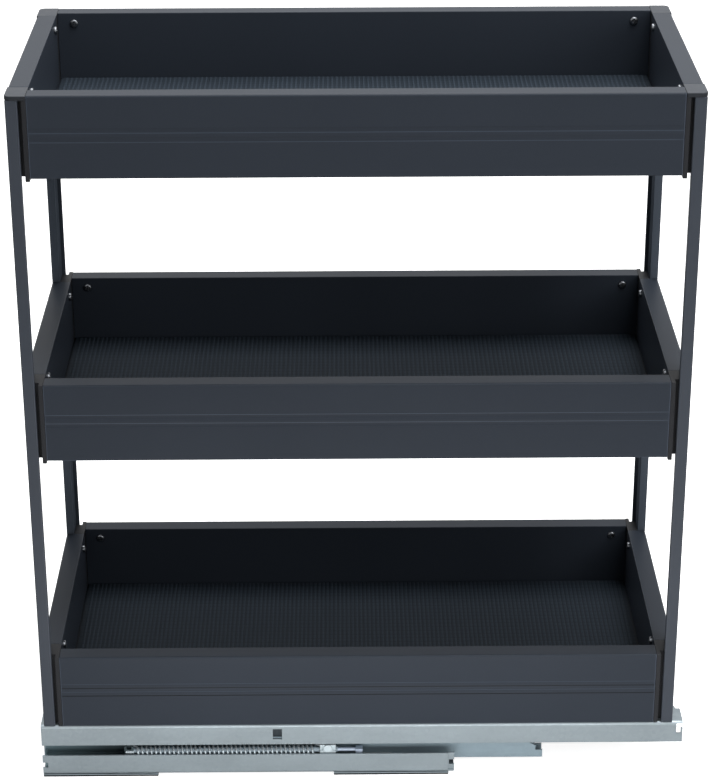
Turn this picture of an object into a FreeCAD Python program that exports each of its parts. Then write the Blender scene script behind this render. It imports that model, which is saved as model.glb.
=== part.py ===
import FreeCAD, Part

import math
import os
from types import SimpleNamespace

import Sketcher
from FreeCAD import Placement, Rotation, Vector

# Pull-out shelving rack for a base cabinet: three tray baskets of aluminium extrusions hang between
# four posts, and the lowest one rides on two three-part floor slides with a soft-close spring.
#
# Frame: X runs along the slides and the carriage opens towards -X, Y runs across the rack and Z is up.
# The origin lies on the cabinet floor under the middle of the slides. All sizes are millimetres.

SIZES = {
    # Rack
    "rack_height": 500.0,
    "basket_length": 440.0,
    "basket_width": 207.0,
    "basket_shift": 2.6,
    "middle_lip_height": 302.2,
    # Wall extrusion of a basket
    "wall_height": 54.6,
    "wall_width": 13.2,
    "wall_skin": 1.2,
    "wall_top_radius": 1.5,
    "wall_edge_radius": 0.5,
    "line_one_drop": 24.3,
    "line_two_drop": 30.4,
    "line_width": 1.0,
    "line_sink": 0.35,
    "seam": 0.2,
    # Floor of a basket
    "floor_depth": 46.2,
    "mat_thickness": 1.2,
    "mat_side_margin": 1.5,
    "mat_edge_margin": 1.0,
    "mat_corner_radius": 2.0,
    "floor_thickness": 2.5,
    "floor_seat": 6.0,
    "floor_slot_depth": 7.0,
    "floor_clearance": 0.1,
    # Corner post
    "post_width": 5.6,
    "post_depth": 20.0,
    "post_flange_width": 8.0,
    "post_flange_thickness": 3.0,
    "post_skin": 1.2,
    "post_edge_radius": 0.8,
    # Corner connector and cap
    "post_clearance": 0.3,
    "nose_width": 2.8,
    "nose_depth": 5.2,
    "foot_drop": 2.0,
    "tongue_reach": 22.0,
    "tongue_clearance": 0.3,
    "tongue_height": 40.0,
    "cap_thickness": 3.0,
    "cap_overhang": 0.4,
    "cap_corner_radius": 4.0,
    "peg_height": 6.0,
    "peg_length": 10.0,
    # Fasteners
    "screw_head_radius": 3.4,
    "screw_head_height": 2.0,
    "screw_radius": 2.0,
    "screw_reach": 9.0,
    "screw_hole_play": 0.05,
    "screw_pass_play": 0.2,
    "basket_screw_drop": 7.2,
    "long_wall_screw_inset": 11.6,
    "side_wall_screw_inset": 18.4,
    "post_screw_drop": 14.0,
    "post_screw_spacing": 26.0,
    "post_screw_access_radius": 3.9,
    "post_screw_reach": 7.4,
    "rail_screw_spacing": 130.0,
    "rail_screw_reach": 4.5,
    # Slides
    "rail_length": 450.0,
    "rail_height": 16.2,
    "slide_width": 24.0,
    "slide_sheet": 1.5,
    "slide_bend_radius": 2.4,
    "slide_gap": 8.4,
    "fixed_length": 290.0,
    "fixed_height": 15.5,
    "fixed_notch_height": 5.9,
    "fixed_notch_width": 4.0,
    "fixed_notch_length": 3.6,
    "end_lug_length": 4.2,
    "end_lug_step": 1.0,
    "window_left": -62.5,
    "window_length": 6.3,
    "window_height": 4.1,
    "window_width": 8.2,
    "tab_length": 7.2,
    "tab_lean": 1.9,
    "rail_hook_height": 7.0,
    "rail_hook_length": 1.4,
    "rail_hook_reach": 4.4,
    "rail_corner_depth": 5.6,
    "rail_corner_inset": 3.0,
    "middle_length": 353.0,
    "middle_offset": 11.4,
    "middle_width": 9.2,
    "middle_sheet": 1.2,
    "middle_bend_radius": 1.0,
    "middle_tab_length": 4.9,
    "middle_tab_height": 6.3,
    "middle_tab_step": 3.7,
    "middle_cut_length": 9.9,
    "middle_cut_rise": 2.6,
    "travel": 420.0,
    # Rollers and their cages
    "roller_radius": 1.5,
    "roller_play": 0.05,
    "roller_length": 8.4,
    "roller_pitch": 9.0,
    "cage_strip_thickness": 2.0,
    "cage_skirt_thickness": 1.2,
    "cage_skirt_height": 6.5,
    "cage_play": 0.3,
    "cage_end": 6.0,
    "cage_window_play": 0.15,
    "lower_cage_margin": 2.0,
    "upper_cage_margin": 8.0,
    # Base plates
    "plate_thickness": 2.0,
    "plate_length": 81.0,
    "plate_inset": 0.5,
    "plate_hole_radius": 2.6,
    "plate_hole_spacing_x": 52.0,
    "plate_hole_spacing_y": 120.0,
    "inner_plate_end": 4.0,
    # Soft close
    "carrier_inset": 1.4,
    "carrier_offset": 1.8,
    "carrier_width": 7.8,
    "carrier_height": 9.9,
    "carrier_length": 224.4,
    "track_length": 56.0,
    "track_offset": 10.3,
    "track_height": 9.4,
    "track_wall": 0.8,
    "carrier_skin": 1.2,
    "damper_offset": 5.95,
    "damper_height": 14.3,
    "catch_length": 6.5,
    "catch_width": 4.6,
    "catch_lower": 4.1,
    "catch_foot_width": 2.4,
    "catch_foot_depth": 3.6,
    "catch_upper": 4.6,
    "catch_travel": 48.0,
    "catch_notch": 2.6,
    "cylinder_radius": 2.1,
    "cylinder_bore": 1.5,
    "cylinder_play": 0.1,
    "cylinder_tail": 1.4,
    "rod_radius": 1.4,
    "rod_overlap": 72.0,
    "anchor_length": 11.3,
    "anchor_upper": 5.7,
    "anchor_boss_radius": 3.0,
    "anchor_boss_height": 0.9,
    "anchor_boss_rise": 2.9,
    "anchor_notch_width": 2.2,
    "anchor_notch_depth": 0.9,
    "anchor_notch_low": 0.9,
    "anchor_notch_high": 3.4,
    "end_block_gap": 14.0,
    "end_block_length": 4.9,
    "end_block_upper": 1.5,
    "spring_length": 131.3,
    "spring_radius": 3.48,
    "spring_wire_radius": 0.62,
    "trigger_length": 8.0,
    "trigger_width": 6.0,
    "trigger_height": 8.0,
    "trigger_pin_radius": 1.7,
    "trigger_play": 0.4,
}
SPRING_TURNS = 40
# Bend radius of the spring's ends, in wire radii.
SPRING_BEND = 2.5
CARRIER_CELLS = 8
SCREW_HEAD_TAPER = 0.8
# Below this a direction counts as straight.
FLAT = 1e-6
X_AXIS, Y_AXIS, Z_AXIS = Vector(1, 0, 0), Vector(0, 1, 0), Vector(0, 0, 1)
TIERS = ("bottom", "middle", "top")
CORNERS = (("front_left", -1, -1), ("front_right", 1, -1), ("rear_left", -1, 1), ("rear_right", 1, 1))
SIDES = (("front", 1), ("rear", -1))


class Size:
    """A length that keeps the sheet expression which gives it."""

    def __init__(self, value, text):
        self.value = float(value)
        self.text = text

    @staticmethod
    def of(other):
        return other if isinstance(other, Size) else Size(other, repr(float(other)))

    def __add__(self, other):
        other = Size.of(other)
        return Size(self.value + other.value, "(%s + %s)" % (self.text, other.text))

    def __radd__(self, other):
        return Size.of(other) + self

    def __sub__(self, other):
        other = Size.of(other)
        return Size(self.value - other.value, "(%s - %s)" % (self.text, other.text))

    def __rsub__(self, other):
        return Size.of(other) - self

    def __mul__(self, other):
        other = Size.of(other)
        return Size(self.value * other.value, "(%s * %s)" % (self.text, other.text))

    __rmul__ = __mul__

    def __truediv__(self, other):
        other = Size.of(other)
        return Size(self.value / other.value, "(%s / %s)" % (self.text, other.text))

    def __neg__(self):
        return 0 - self

    def __float__(self):
        return self.value


ZERO = Size(0, "0")


def fill_sheet(doc):
    """The driving sizes as a spreadsheet, returned as named Size values."""
    sheet = doc.addObject("Spreadsheet::Sheet", "Sizes")
    for row, (name, value) in enumerate(SIZES.items(), start=1):
        sheet.set("A%d" % row, name.replace("_", " "))
        sheet.set("B%d" % row, str(value))
        sheet.setAlias("B%d" % row, name)
    doc.recompute()
    return SimpleNamespace(**{name: Size(sheet.get(name), "Sizes." + name) for name in SIZES})


# Sketches and solids

def origin_plane(body, role):
    return [plane for plane in body.Origin.OriginFeatures if plane.Role == role][0]


def fix_point(sketch, geometry, point, u, v):
    """Hold a point of the sketch at (u, v); a value of None leaves that coordinate free."""
    for kind, size in (("DistanceX", u), ("DistanceY", v)):
        if size is None:
            continue
        index = sketch.addConstraint(Sketcher.Constraint(kind, geometry, point, size.value))
        name = "%s%d" % (kind[-1].lower(), index)
        sketch.renameConstraint(index, name)
        sketch.setExpression("Constraints." + name, size.text)


def fix_radius(sketch, geometry, radius):
    index = sketch.addConstraint(Sketcher.Constraint("Radius", geometry, radius.value))
    name = "r%d" % index
    sketch.renameConstraint(index, name)
    sketch.setExpression("Constraints." + name, radius.text)


def unit_step(start, end):
    """Direction of an outline side along an axis, as (-1, 0 or 1, -1, 0 or 1)."""
    du = end[0].value - start[0].value
    dv = end[1].value - start[1].value
    return (int(math.copysign(1, du)), 0) if abs(du) > abs(dv) else (0, int(math.copysign(1, dv)))


def draw_outline(sketch, corners):
    """Closed outline through corners (u, v) or (u, v, radius). A rounded corner joins two sides square
    to the axes."""
    joints = []
    for index, corner in enumerate(corners):
        u, v = Size.of(corner[0]), Size.of(corner[1])
        if len(corner) == 2:
            joints.append((None, (u, v), (u, v), None))
            continue
        radius = Size.of(corner[2])
        before = [Size.of(value) for value in corners[index - 1][:2]]
        after = [Size.of(value) for value in corners[(index + 1) % len(corners)][:2]]
        step_in = unit_step(before, (u, v))
        step_out = unit_step((u, v), after)
        entry = (u - step_in[0] * radius, v - step_in[1] * radius)
        leave = (u + step_out[0] * radius, v + step_out[1] * radius)
        centre = (entry[0] + step_out[0] * radius, entry[1] + step_out[1] * radius)
        left_turn = step_in[0] * step_out[1] - step_in[1] * step_out[0] > 0
        joints.append((centre, entry, leave, (radius, left_turn, step_in)))
    ends = []
    for centre, entry, leave, bend in joints:
        if centre is None:
            ends.append(None)
            continue
        radius, left_turn, step_in = bend
        first, last = (entry, leave) if left_turn else (leave, entry)
        angles = [math.atan2(p[1].value - centre[1].value, p[0].value - centre[0].value) for p in (first, last)]
        if angles[1] < angles[0]:
            angles[1] += 2 * math.pi
        circle = Part.Circle(Vector(centre[0].value, centre[1].value, 0), Vector(0, 0, 1), radius.value)
        geometry = sketch.addGeometry(Part.ArcOfCircle(circle, angles[0], angles[1]))
        entry_point, leave_point = (1, 2) if left_turn else (2, 1)
        fix_point(sketch, geometry, 3, centre[0], centre[1])
        fix_point(sketch, geometry, entry_point, entry[0], entry[1])
        # The far end lies on the arc already, so only its place along the tangent is held.
        if step_in[0]:
            fix_point(sketch, geometry, leave_point, None, leave[1])
        else:
            fix_point(sketch, geometry, leave_point, leave[0], None)
        ends.append((geometry, entry_point, leave_point))
    lines = []
    for index, (centre, entry, leave, bend) in enumerate(joints):
        target = joints[(index + 1) % len(joints)][1]
        start = Vector(leave[0].value, leave[1].value, 0)
        end = Vector(target[0].value, target[1].value, 0)
        lines.append(sketch.addGeometry(Part.LineSegment(start, end)))
    for index, line in enumerate(lines):
        after = (index + 1) % len(joints)
        if ends[after] is None:
            sketch.addConstraint(Sketcher.Constraint("Coincident", line, 2, lines[after], 1))
            fix_point(sketch, line, 2, joints[after][1][0], joints[after][1][1])
        else:
            geometry, entry_point, leave_point = ends[after]
            sketch.addConstraint(Sketcher.Constraint("Coincident", line, 2, geometry, entry_point))
            sketch.addConstraint(Sketcher.Constraint("Coincident", lines[after], 1, geometry, leave_point))


def draw_circle(sketch, u, v, radius):
    u, v = Size.of(u), Size.of(v)
    circle = Part.Circle(Vector(u.value, v.value, 0), Vector(0, 0, 1), radius.value)
    geometry = sketch.addGeometry(circle)
    fix_point(sketch, geometry, 3, u, v)
    fix_radius(sketch, geometry, radius)


def rectangle(u0, u1, v0, v1):
    return [(u0, v0), (u1, v0), (u1, v1), (u0, v1)]


class Solid:
    """A body built from prisms whose sketches lie on its own origin planes."""

    # Role of the plane that a prism stands on, and whether the plane's normal points the other way.
    PLANES = {"X": ("YZ_Plane", False), "Y": ("XZ_Plane", True), "Z": ("XY_Plane", False)}

    def __init__(self, doc, label):
        self.doc = doc
        self.body = doc.addObject("PartDesign::Body", label)
        self.body.Label = label
        self.count = 0

    def sketch(self, axis, start):
        role, flipped = self.PLANES[axis]
        start = Size.of(start)
        lift = -start if flipped else start
        self.count += 1
        sketch = self.body.newObject("Sketcher::SketchObject", "%s_sketch%d" % (self.body.Name, self.count))
        sketch.AttachmentSupport = (origin_plane(self.body, role), [""])
        sketch.MapMode = "FlatFace"
        sketch.AttachmentOffset = Placement(Vector(0, 0, lift.value), Rotation())
        sketch.setExpression("AttachmentOffset.Base.z", lift.text)
        return sketch

    def prism(self, kind, axis, start, end, outlines=(), circles=()):
        """Pad or pocket from start to end along an axis, through the given outlines and circles."""
        sketch = self.sketch(axis, start)
        for outline in outlines:
            draw_outline(sketch, outline)
        for circle in circles:
            draw_circle(sketch, *circle)
        feature = self.body.newObject("PartDesign::" + kind, "%s_%s%d" % (self.body.Name, kind, self.count))
        feature.Profile = sketch
        length = Size.of(end) - Size.of(start)
        feature.Length = length.value
        feature.setExpression("Length", length.text)
        flipped = self.PLANES[axis][1]
        feature.Reversed = flipped if kind == "Pad" else not flipped
        self.body.Tip = feature
        return feature

    def add(self, axis, start, end, outlines=(), circles=()):
        return self.prism("Pad", axis, start, end, outlines, circles)

    def cut(self, axis, start, end, outlines=(), circles=()):
        return self.prism("Pocket", axis, start, end, outlines, circles)

    def place(self, x=ZERO, y=ZERO, z=ZERO, turn=0):
        place(self.body, x, y, z, turn)
        return self.body


def place(item, x, y, z, turn=0):
    """Stand an object at (x, y, z), turned about the upright by whole degrees."""
    x, y, z = Size.of(x), Size.of(y), Size.of(z)
    item.Placement = Placement(Vector(x.value, y.value, z.value), Rotation(Vector(0, 0, 1), turn))
    for axis, size in (("x", x), ("y", y), ("z", z)):
        item.setExpression("Placement.Base." + axis, size.text)


def gather(doc, label, parts):
    """Separate solids of one sub-part under one label."""
    group = doc.addObject("Part::Compound", label)
    group.Label = label
    group.Links = parts
    return group


# Levels and edges that several sub-parts share

def work_out(s):
    """Levels and places that follow from the driving sizes."""
    s.fixed_floor = s.plate_thickness + s.slide_sheet
    s.fixed_top = s.plate_thickness + s.fixed_height
    s.rail_bottom = s.fixed_top + s.slide_gap
    s.slide_height = s.rail_bottom + s.rail_height
    s.rail_under = s.slide_height - s.slide_sheet
    s.roller_gap = 2 * (s.roller_radius + s.roller_play)
    s.middle_bottom = s.fixed_floor + s.roller_gap
    s.middle_top = s.rail_under - s.roller_gap
    s.slide_left = -s.rail_length / 2
    s.slide_right = s.rail_length / 2
    s.fixed_right = s.slide_left + s.fixed_length
    s.middle_right = s.slide_left + s.middle_length
    s.slide_face = s.basket_width / 2
    s.basket_x = -s.basket_shift
    s.half_length = s.basket_length / 2
    s.half_width = s.basket_width / 2
    s.lip = {
        "bottom": s.slide_height + s.wall_height,
        "middle": s.middle_lip_height,
        "top": s.rack_height,
    }
    s.long_wall_length = s.basket_length - 2 * (s.wall_width + s.seam)
    s.side_wall_length = s.basket_width - 2 * (s.post_depth + s.seam)
    s.floor_top = s.floor_depth + s.mat_thickness
    s.slot_top = s.floor_top - s.floor_clearance
    s.slot_bottom = s.floor_top + s.floor_thickness + s.floor_clearance
    s.damper_z = s.fixed_floor + s.damper_height
    s.carrier_left = s.slide_left + s.carrier_inset
    s.carrier_top = s.fixed_floor + s.carrier_height
    s.catch_left = s.carrier_left + s.track_length
    s.catch_right = s.catch_left + s.catch_length
    s.catch_top = s.damper_z + s.catch_upper
    s.anchor_left = s.catch_right + s.spring_length
    s.anchor_right = s.anchor_left + s.anchor_length
    s.end_block_left = s.anchor_right + s.end_block_gap
    s.lower_cage_left = s.slide_left + s.travel / 4 + s.lower_cage_margin
    s.lower_cage_right = s.middle_right - s.travel / 4 - s.lower_cage_margin
    s.upper_cage_left = s.slide_left + s.travel / 4 + s.upper_cage_margin
    s.upper_cage_right = s.slide_right - s.travel / 4 - s.upper_cage_margin
    return s


# Baskets

def wall(doc, s, label, length, screw_inset):
    """Hollow extrusion with two fine lines outside and the floor slot inside. Its outer face lies in
    the body's XZ plane and its lip at height zero."""
    solid = Solid(doc, label)
    width, deep, skin = s.wall_width, -s.wall_height, s.wall_skin
    outline = [
        (ZERO, deep, s.wall_edge_radius),
        (width, deep, s.wall_edge_radius),
        (width, -s.slot_bottom),
        (width - s.floor_slot_depth, -s.slot_bottom),
        (width - s.floor_slot_depth, -s.slot_top),
        (width, -s.slot_top),
        (width, ZERO, s.wall_edge_radius),
        (ZERO, ZERO, s.wall_top_radius),
    ]
    for drop in (s.line_one_drop, s.line_two_drop):
        outline += [(ZERO, -drop + s.line_width / 2), (s.line_sink, -drop), (ZERO, -drop - s.line_width / 2)]
    upper = rectangle(skin, width - skin, -s.slot_top + skin, -skin)
    lower = rectangle(skin, width - skin, deep + skin, -s.slot_bottom - skin)
    solid.add("X", -length / 2, length / 2, [outline, upper, lower])
    hole = s.screw_radius + s.screw_pass_play
    holes = [(side * (length / 2 - screw_inset), -s.basket_screw_drop, hole) for side in (-1, 1)]
    solid.cut("Y", width - 1.5 * skin, width + skin, circles=holes)
    return solid


def long_wall(doc, s, tier, side):
    """Front or rear wall. On the bottom tier its lower web takes the screws of the rail under it."""
    name, facing = side
    solid = wall(doc, s, "%s_%s_wall" % (tier, name), s.long_wall_length, s.long_wall_screw_inset - s.seam)
    if tier == "bottom":
        hole = s.screw_radius + s.screw_hole_play
        holes = [(facing * (x - s.basket_x), s.damper_offset, hole) for x in rail_screw_places(s)]
        solid.cut("Z", -s.wall_height - s.wall_skin, -s.wall_height + 1.5 * s.wall_skin, circles=holes)
    return solid.place(s.basket_x, -facing * s.half_width, s.lip[tier], 0 if facing > 0 else 180)


def side_wall(doc, s, tier, name, facing):
    inset = s.side_wall_screw_inset + s.wall_width - s.post_depth - s.seam
    solid = wall(doc, s, "%s_%s_wall" % (tier, name), s.side_wall_length, inset)
    return solid.place(s.basket_x - facing * s.half_length, ZERO, s.lip[tier], -90 * facing)


def floor_panel(doc, s, tier):
    """Panel that sits in the slots of the four walls and is notched round the corner connectors."""
    solid = Solid(doc, "%s_floor_panel" % tier)
    reach_x = s.half_length - s.wall_width + s.floor_seat
    reach_y = s.half_width - s.wall_width + s.floor_seat
    notch_x = s.half_length - s.wall_width - s.seam
    notch_y = s.half_width - s.post_depth - s.seam
    outline = []
    for sx, sy, across in ((1, 1, True), (-1, 1, False), (-1, -1, True), (1, -1, False)):
        step = [(reach_x * sx, notch_y * sy), (notch_x * sx, notch_y * sy), (notch_x * sx, reach_y * sy)]
        outline += step if across else step[::-1]
    solid.add("Z", ZERO, s.floor_thickness, [outline])
    return solid.place(s.basket_x, ZERO, s.lip[tier] - s.floor_top - s.floor_thickness)


def floor_mat(doc, s, tier):
    solid = Solid(doc, "%s_floor_mat" % tier)
    x = s.half_length - s.wall_width - s.mat_side_margin
    y = s.half_width - s.wall_width - s.mat_edge_margin
    radius = s.mat_corner_radius
    solid.add("Z", ZERO, s.mat_thickness, [[(-x, -y, radius), (x, -y, radius), (x, y, radius), (-x, y, radius)]])
    return solid.place(s.basket_x, ZERO, s.lip[tier] - s.floor_top)


# Corners. Each is drawn by its distances from the side face and from the long face of the basket.

def corner_outline(sx, sy, points):
    return [(point[0] * -sx, point[1] * -sy) + tuple(point[2:]) for point in points]


def at_corner(solid, s, corner, z):
    name, sx, sy = corner
    return solid.place(s.basket_x + sx * s.half_length, sy * s.half_width, z)


def connector(doc, s, tier, corner):
    """Moulded corner: a body notched round the post, a nose that fills the edge of the long wall and a
    tongue in the hollow of each wall."""
    name, sx, sy = corner
    solid = Solid(doc, "%s_%s_connector" % (tier, name))
    inner = s.wall_width
    back = s.post_width + s.post_clearance
    nose = inner - s.nose_width
    top = -s.cap_thickness if tier == "top" else ZERO
    plan = [(nose, ZERO), (inner, ZERO), (inner, s.post_depth), (back, s.post_depth), (back, s.nose_depth),
            (nose, s.nose_depth)]
    solid.add("Z", -s.wall_height, top, [corner_outline(sx, sy, plan)])
    gap = s.wall_skin + s.tongue_clearance
    tongue_top = -s.wall_skin - s.tongue_clearance
    tongue_bottom = tongue_top - s.tongue_height
    low, high = gap, s.wall_width - gap
    root_top = tongue_top - s.cap_thickness if tier == "top" else tongue_top
    seam_x, seam_y = inner + s.seam, s.post_depth + s.seam
    roots = [rectangle(inner - s.nose_width / 2, seam_x, low, high),
             rectangle(back, high, s.post_depth - s.nose_width, seam_y)]
    tongues = [rectangle(seam_x, inner + s.tongue_reach, low, high),
               rectangle(low, high, seam_y, s.post_depth + s.tongue_reach)]
    for outlines, end in ((roots, root_top), (tongues, tongue_top)):
        for outline in outlines:
            solid.add("Z", tongue_bottom, end, [corner_outline(sx, sy, outline)])
    if tier != "bottom":
        foot = rectangle(nose, inner, ZERO, s.nose_depth)
        solid.add("Z", -s.wall_height - s.foot_drop, -s.wall_height, [corner_outline(sx, sy, foot)])
    hole = s.screw_radius + s.screw_hole_play
    screw_x = -sx * (inner + s.long_wall_screw_inset)
    screw_y = -sy * (inner + s.side_wall_screw_inset)
    cut_along(solid, "Y", -sy, gap + s.wall_skin, s.wall_width, (screw_x, -s.basket_screw_drop, hole))
    cut_along(solid, "X", -sx, gap + s.wall_skin, s.wall_width, (screw_y, -s.basket_screw_drop, hole))
    for drop in post_screw_drops(s):
        post_y = -sy * s.post_depth / 2 - sy * s.nose_depth / 2
        cut_along(solid, "X", -sx, back - s.post_clearance, inner - s.wall_skin, (post_y, -drop, hole))
    return at_corner(solid, s, corner, s.lip[tier])


def cut_along(solid, axis, sign, near, far, circle):
    """Round hole between two distances from the corner, measured inwards."""
    start, end = (near, far) if sign > 0 else (-far, -near)
    solid.cut(axis, start, end, circles=[circle])


def post_screw_drops(s):
    return (s.post_screw_drop, s.post_screw_drop + s.post_screw_spacing)


def post(doc, s, corner):
    """Angle section with a hollow leg, from the rail up to the cap."""
    name, sx, sy = corner
    solid = Solid(doc, "%s_post" % name)
    edge = s.post_edge_radius
    plan = [(ZERO, ZERO, edge), (s.post_flange_width, ZERO, edge), (s.post_flange_width, s.post_flange_thickness),
            (s.post_width, s.post_flange_thickness), (s.post_width, s.post_depth), (ZERO, s.post_depth)]
    skin = s.post_skin
    hollow = rectangle(skin, s.post_width - skin, skin, s.post_depth - skin)
    height = s.rack_height - s.cap_thickness - s.slide_height
    solid.add("Z", ZERO, height, [corner_outline(sx, sy, plan), corner_outline(sx, sy, hollow)])
    across = -sy * s.post_depth / 2 - sy * s.nose_depth / 2
    levels = [s.lip[tier] - drop - s.slide_height for tier in TIERS for drop in post_screw_drops(s)]
    access = [(across, level, s.post_screw_access_radius) for level in levels]
    passing = [(across, level, s.screw_radius + s.screw_pass_play) for level in levels]
    outside, mid, inside = -skin, s.post_width / 2, s.post_width + skin
    for near, far, circles in ((outside, mid, access), (mid, inside, passing)):
        start, end = (near, far) if sx < 0 else (-far, -near)
        solid.cut("X", start, end, circles=circles)
    return at_corner(solid, s, corner, s.slide_height)


def cap(doc, s, corner):
    """Flat cap over a post and its connector, with a peg in the post."""
    name, sx, sy = corner
    solid = Solid(doc, "%s_cap" % name)
    out = -s.cap_overhang
    plan = [(out, out, s.cap_corner_radius), (s.wall_width, out), (s.wall_width, s.post_depth), (out, s.post_depth)]
    solid.add("Z", -s.cap_thickness, ZERO, [corner_outline(sx, sy, plan)])
    side = s.post_skin + s.tongue_clearance
    start = (s.post_depth - s.peg_length) / 2
    peg = rectangle(side, s.post_width - side, start, start + s.peg_length)
    solid.add("Z", -s.cap_thickness - s.peg_height, -s.cap_thickness, [corner_outline(sx, sy, peg)])
    return at_corner(solid, s, corner, s.rack_height)


# Slides. Each is drawn by its distance from the outer face, so one drawing serves front and rear.

def at_slide(solid, s, facing, z=ZERO):
    return solid.place(ZERO, -facing * s.slide_face, z)


def channel_outline(s, facing, height, opens_up):
    """U section of folded sheet, standing on height zero."""
    sheet, width, bend = s.slide_sheet, s.slide_width, s.slide_bend_radius
    points = [
        (ZERO, height), (ZERO, ZERO, bend), (width, ZERO, bend), (width, height),
        (width - sheet, height), (width - sheet, sheet), (sheet, sheet), (sheet, height),
    ]
    if not opens_up:
        points = [(p[0], height - p[1]) + tuple(p[2:]) for p in points]
    return [(facing * p[0], p[1]) + tuple(p[2:]) for p in points]


def cut_across(solid, facing, near, far, outline):
    """Cut an outline of the XZ plane between two distances from the outer face."""
    start, end = (near, far) if facing > 0 else (-far, -near)
    solid.cut("Y", start, end, [outline])


def fixed_channel(doc, s, side):
    """Lower channel on the base plates. Its outer face is notched at the door end and steps in at the
    inner end, where the lug is notched too."""
    name, facing = side
    solid = Solid(doc, "%s_fixed_channel" % name)
    solid.add("X", s.slide_left, s.fixed_right, [channel_outline(s, facing, s.fixed_height, True)])
    sheet, deep, step = s.slide_sheet, s.fixed_notch_length, s.end_lug_step
    low, high = s.fixed_notch_height, s.fixed_notch_height + s.fixed_notch_width
    lug = s.fixed_right - s.end_lug_length
    cut_across(solid, facing, -sheet, sheet, rectangle(lug, s.fixed_right + sheet, s.slide_bend_radius,
                                                       s.fixed_height + sheet))
    lug_section = rectangle(facing * step, facing * (step + sheet), sheet / 2, s.fixed_height)
    solid.add("X", lug - sheet, s.fixed_right, [lug_section])
    for start, end in ((s.slide_left - sheet, s.slide_left + deep), (s.fixed_right - deep, s.fixed_right + sheet)):
        cut_across(solid, facing, -sheet, step + 1.5 * sheet, rectangle(start, end, low, high))
    return at_slide(solid, s, facing, s.plate_thickness)


def top_rail(doc, s, side):
    """Upper channel, open below, with a lanced tab in its face and a hook at its inner end."""
    name, facing = side
    solid = Solid(doc, "%s_top_rail" % name)
    sheet, height, width = s.slide_sheet, s.rail_height, s.slide_width
    left, right = s.slide_left, s.slide_right
    solid.add("X", left, right, [channel_outline(s, facing, height, False)])
    window = (s.window_left, s.window_left + s.window_length)
    cut_across(solid, facing, -sheet, 1.5 * sheet,
               rectangle(window[0], window[1], s.window_height, s.window_height + s.window_width))
    tab_top = s.window_height + s.window_width
    tab = [(sheet / 4, tab_top + sheet / 4), (sheet, tab_top + sheet / 4),
           (s.tab_lean + sheet, tab_top - s.tab_length), (s.tab_lean, tab_top - s.tab_length)]
    solid.add("X", window[0], window[1], [[(facing * d, z) for d, z in tab]])
    step, reach = s.rail_hook_length, s.rail_hook_reach
    hook = [(right - reach, s.rail_hook_height), (right - step, s.rail_hook_height),
            (right - step, s.rail_hook_height + reach), (right + sheet, s.rail_hook_height + reach),
            (right + sheet, height - sheet), (right - reach, height - sheet)]
    cut_across(solid, facing, -sheet, 1.5 * sheet, hook)
    for end, sign, inset in ((right, -1, s.rail_corner_inset), (left, 1, s.rail_corner_inset / 2)):
        corner = [(end - sign * sheet, facing * (width - s.rail_corner_depth)),
                  (end + sign * inset, facing * (width - s.rail_corner_depth)),
                  (end + sign * (inset + sheet), facing * (width + sheet)),
                  (end - sign * sheet, facing * (width + sheet))]
        solid.cut("Z", -sheet, height + sheet, [corner])
    hole = s.screw_radius + s.screw_pass_play
    holes = [(x, facing * s.damper_offset, hole) for x in rail_screw_places(s)]
    solid.cut("Z", height - 1.5 * sheet, height + sheet, circles=holes)
    return at_slide(solid, s, facing, s.rail_bottom)


def middle_member(doc, s, side):
    """Box section that runs between both channels, with its inner end cut back above a tab."""
    name, facing = side
    solid = Solid(doc, "%s_middle_member" % name)
    near, far, sheet, bend = s.middle_offset, s.middle_offset + s.middle_width, s.middle_sheet, s.middle_bend_radius
    low, high = s.middle_bottom, s.middle_top
    outer = [(facing * near, low, bend), (facing * far, low, bend), (facing * far, high, bend),
             (facing * near, high, bend)]
    inner = rectangle(facing * (near + sheet), facing * (far - sheet), low + sheet, high - sheet)
    end = s.middle_right
    solid.add("X", s.slide_left, end, [outer, inner])
    tab_top, shoulder = low + s.middle_tab_height, low + s.middle_tab_height + s.middle_tab_step
    cut = [(end + sheet, tab_top), (end - s.middle_tab_length, tab_top), (end - s.middle_tab_length, shoulder),
           (end - s.middle_cut_length, shoulder + s.middle_cut_rise), (end - s.middle_cut_length, high + sheet),
           (end + sheet, high + sheet)]
    cut_across(solid, facing, near - sheet, far + sheet, cut)
    return at_slide(solid, s, facing)


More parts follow.
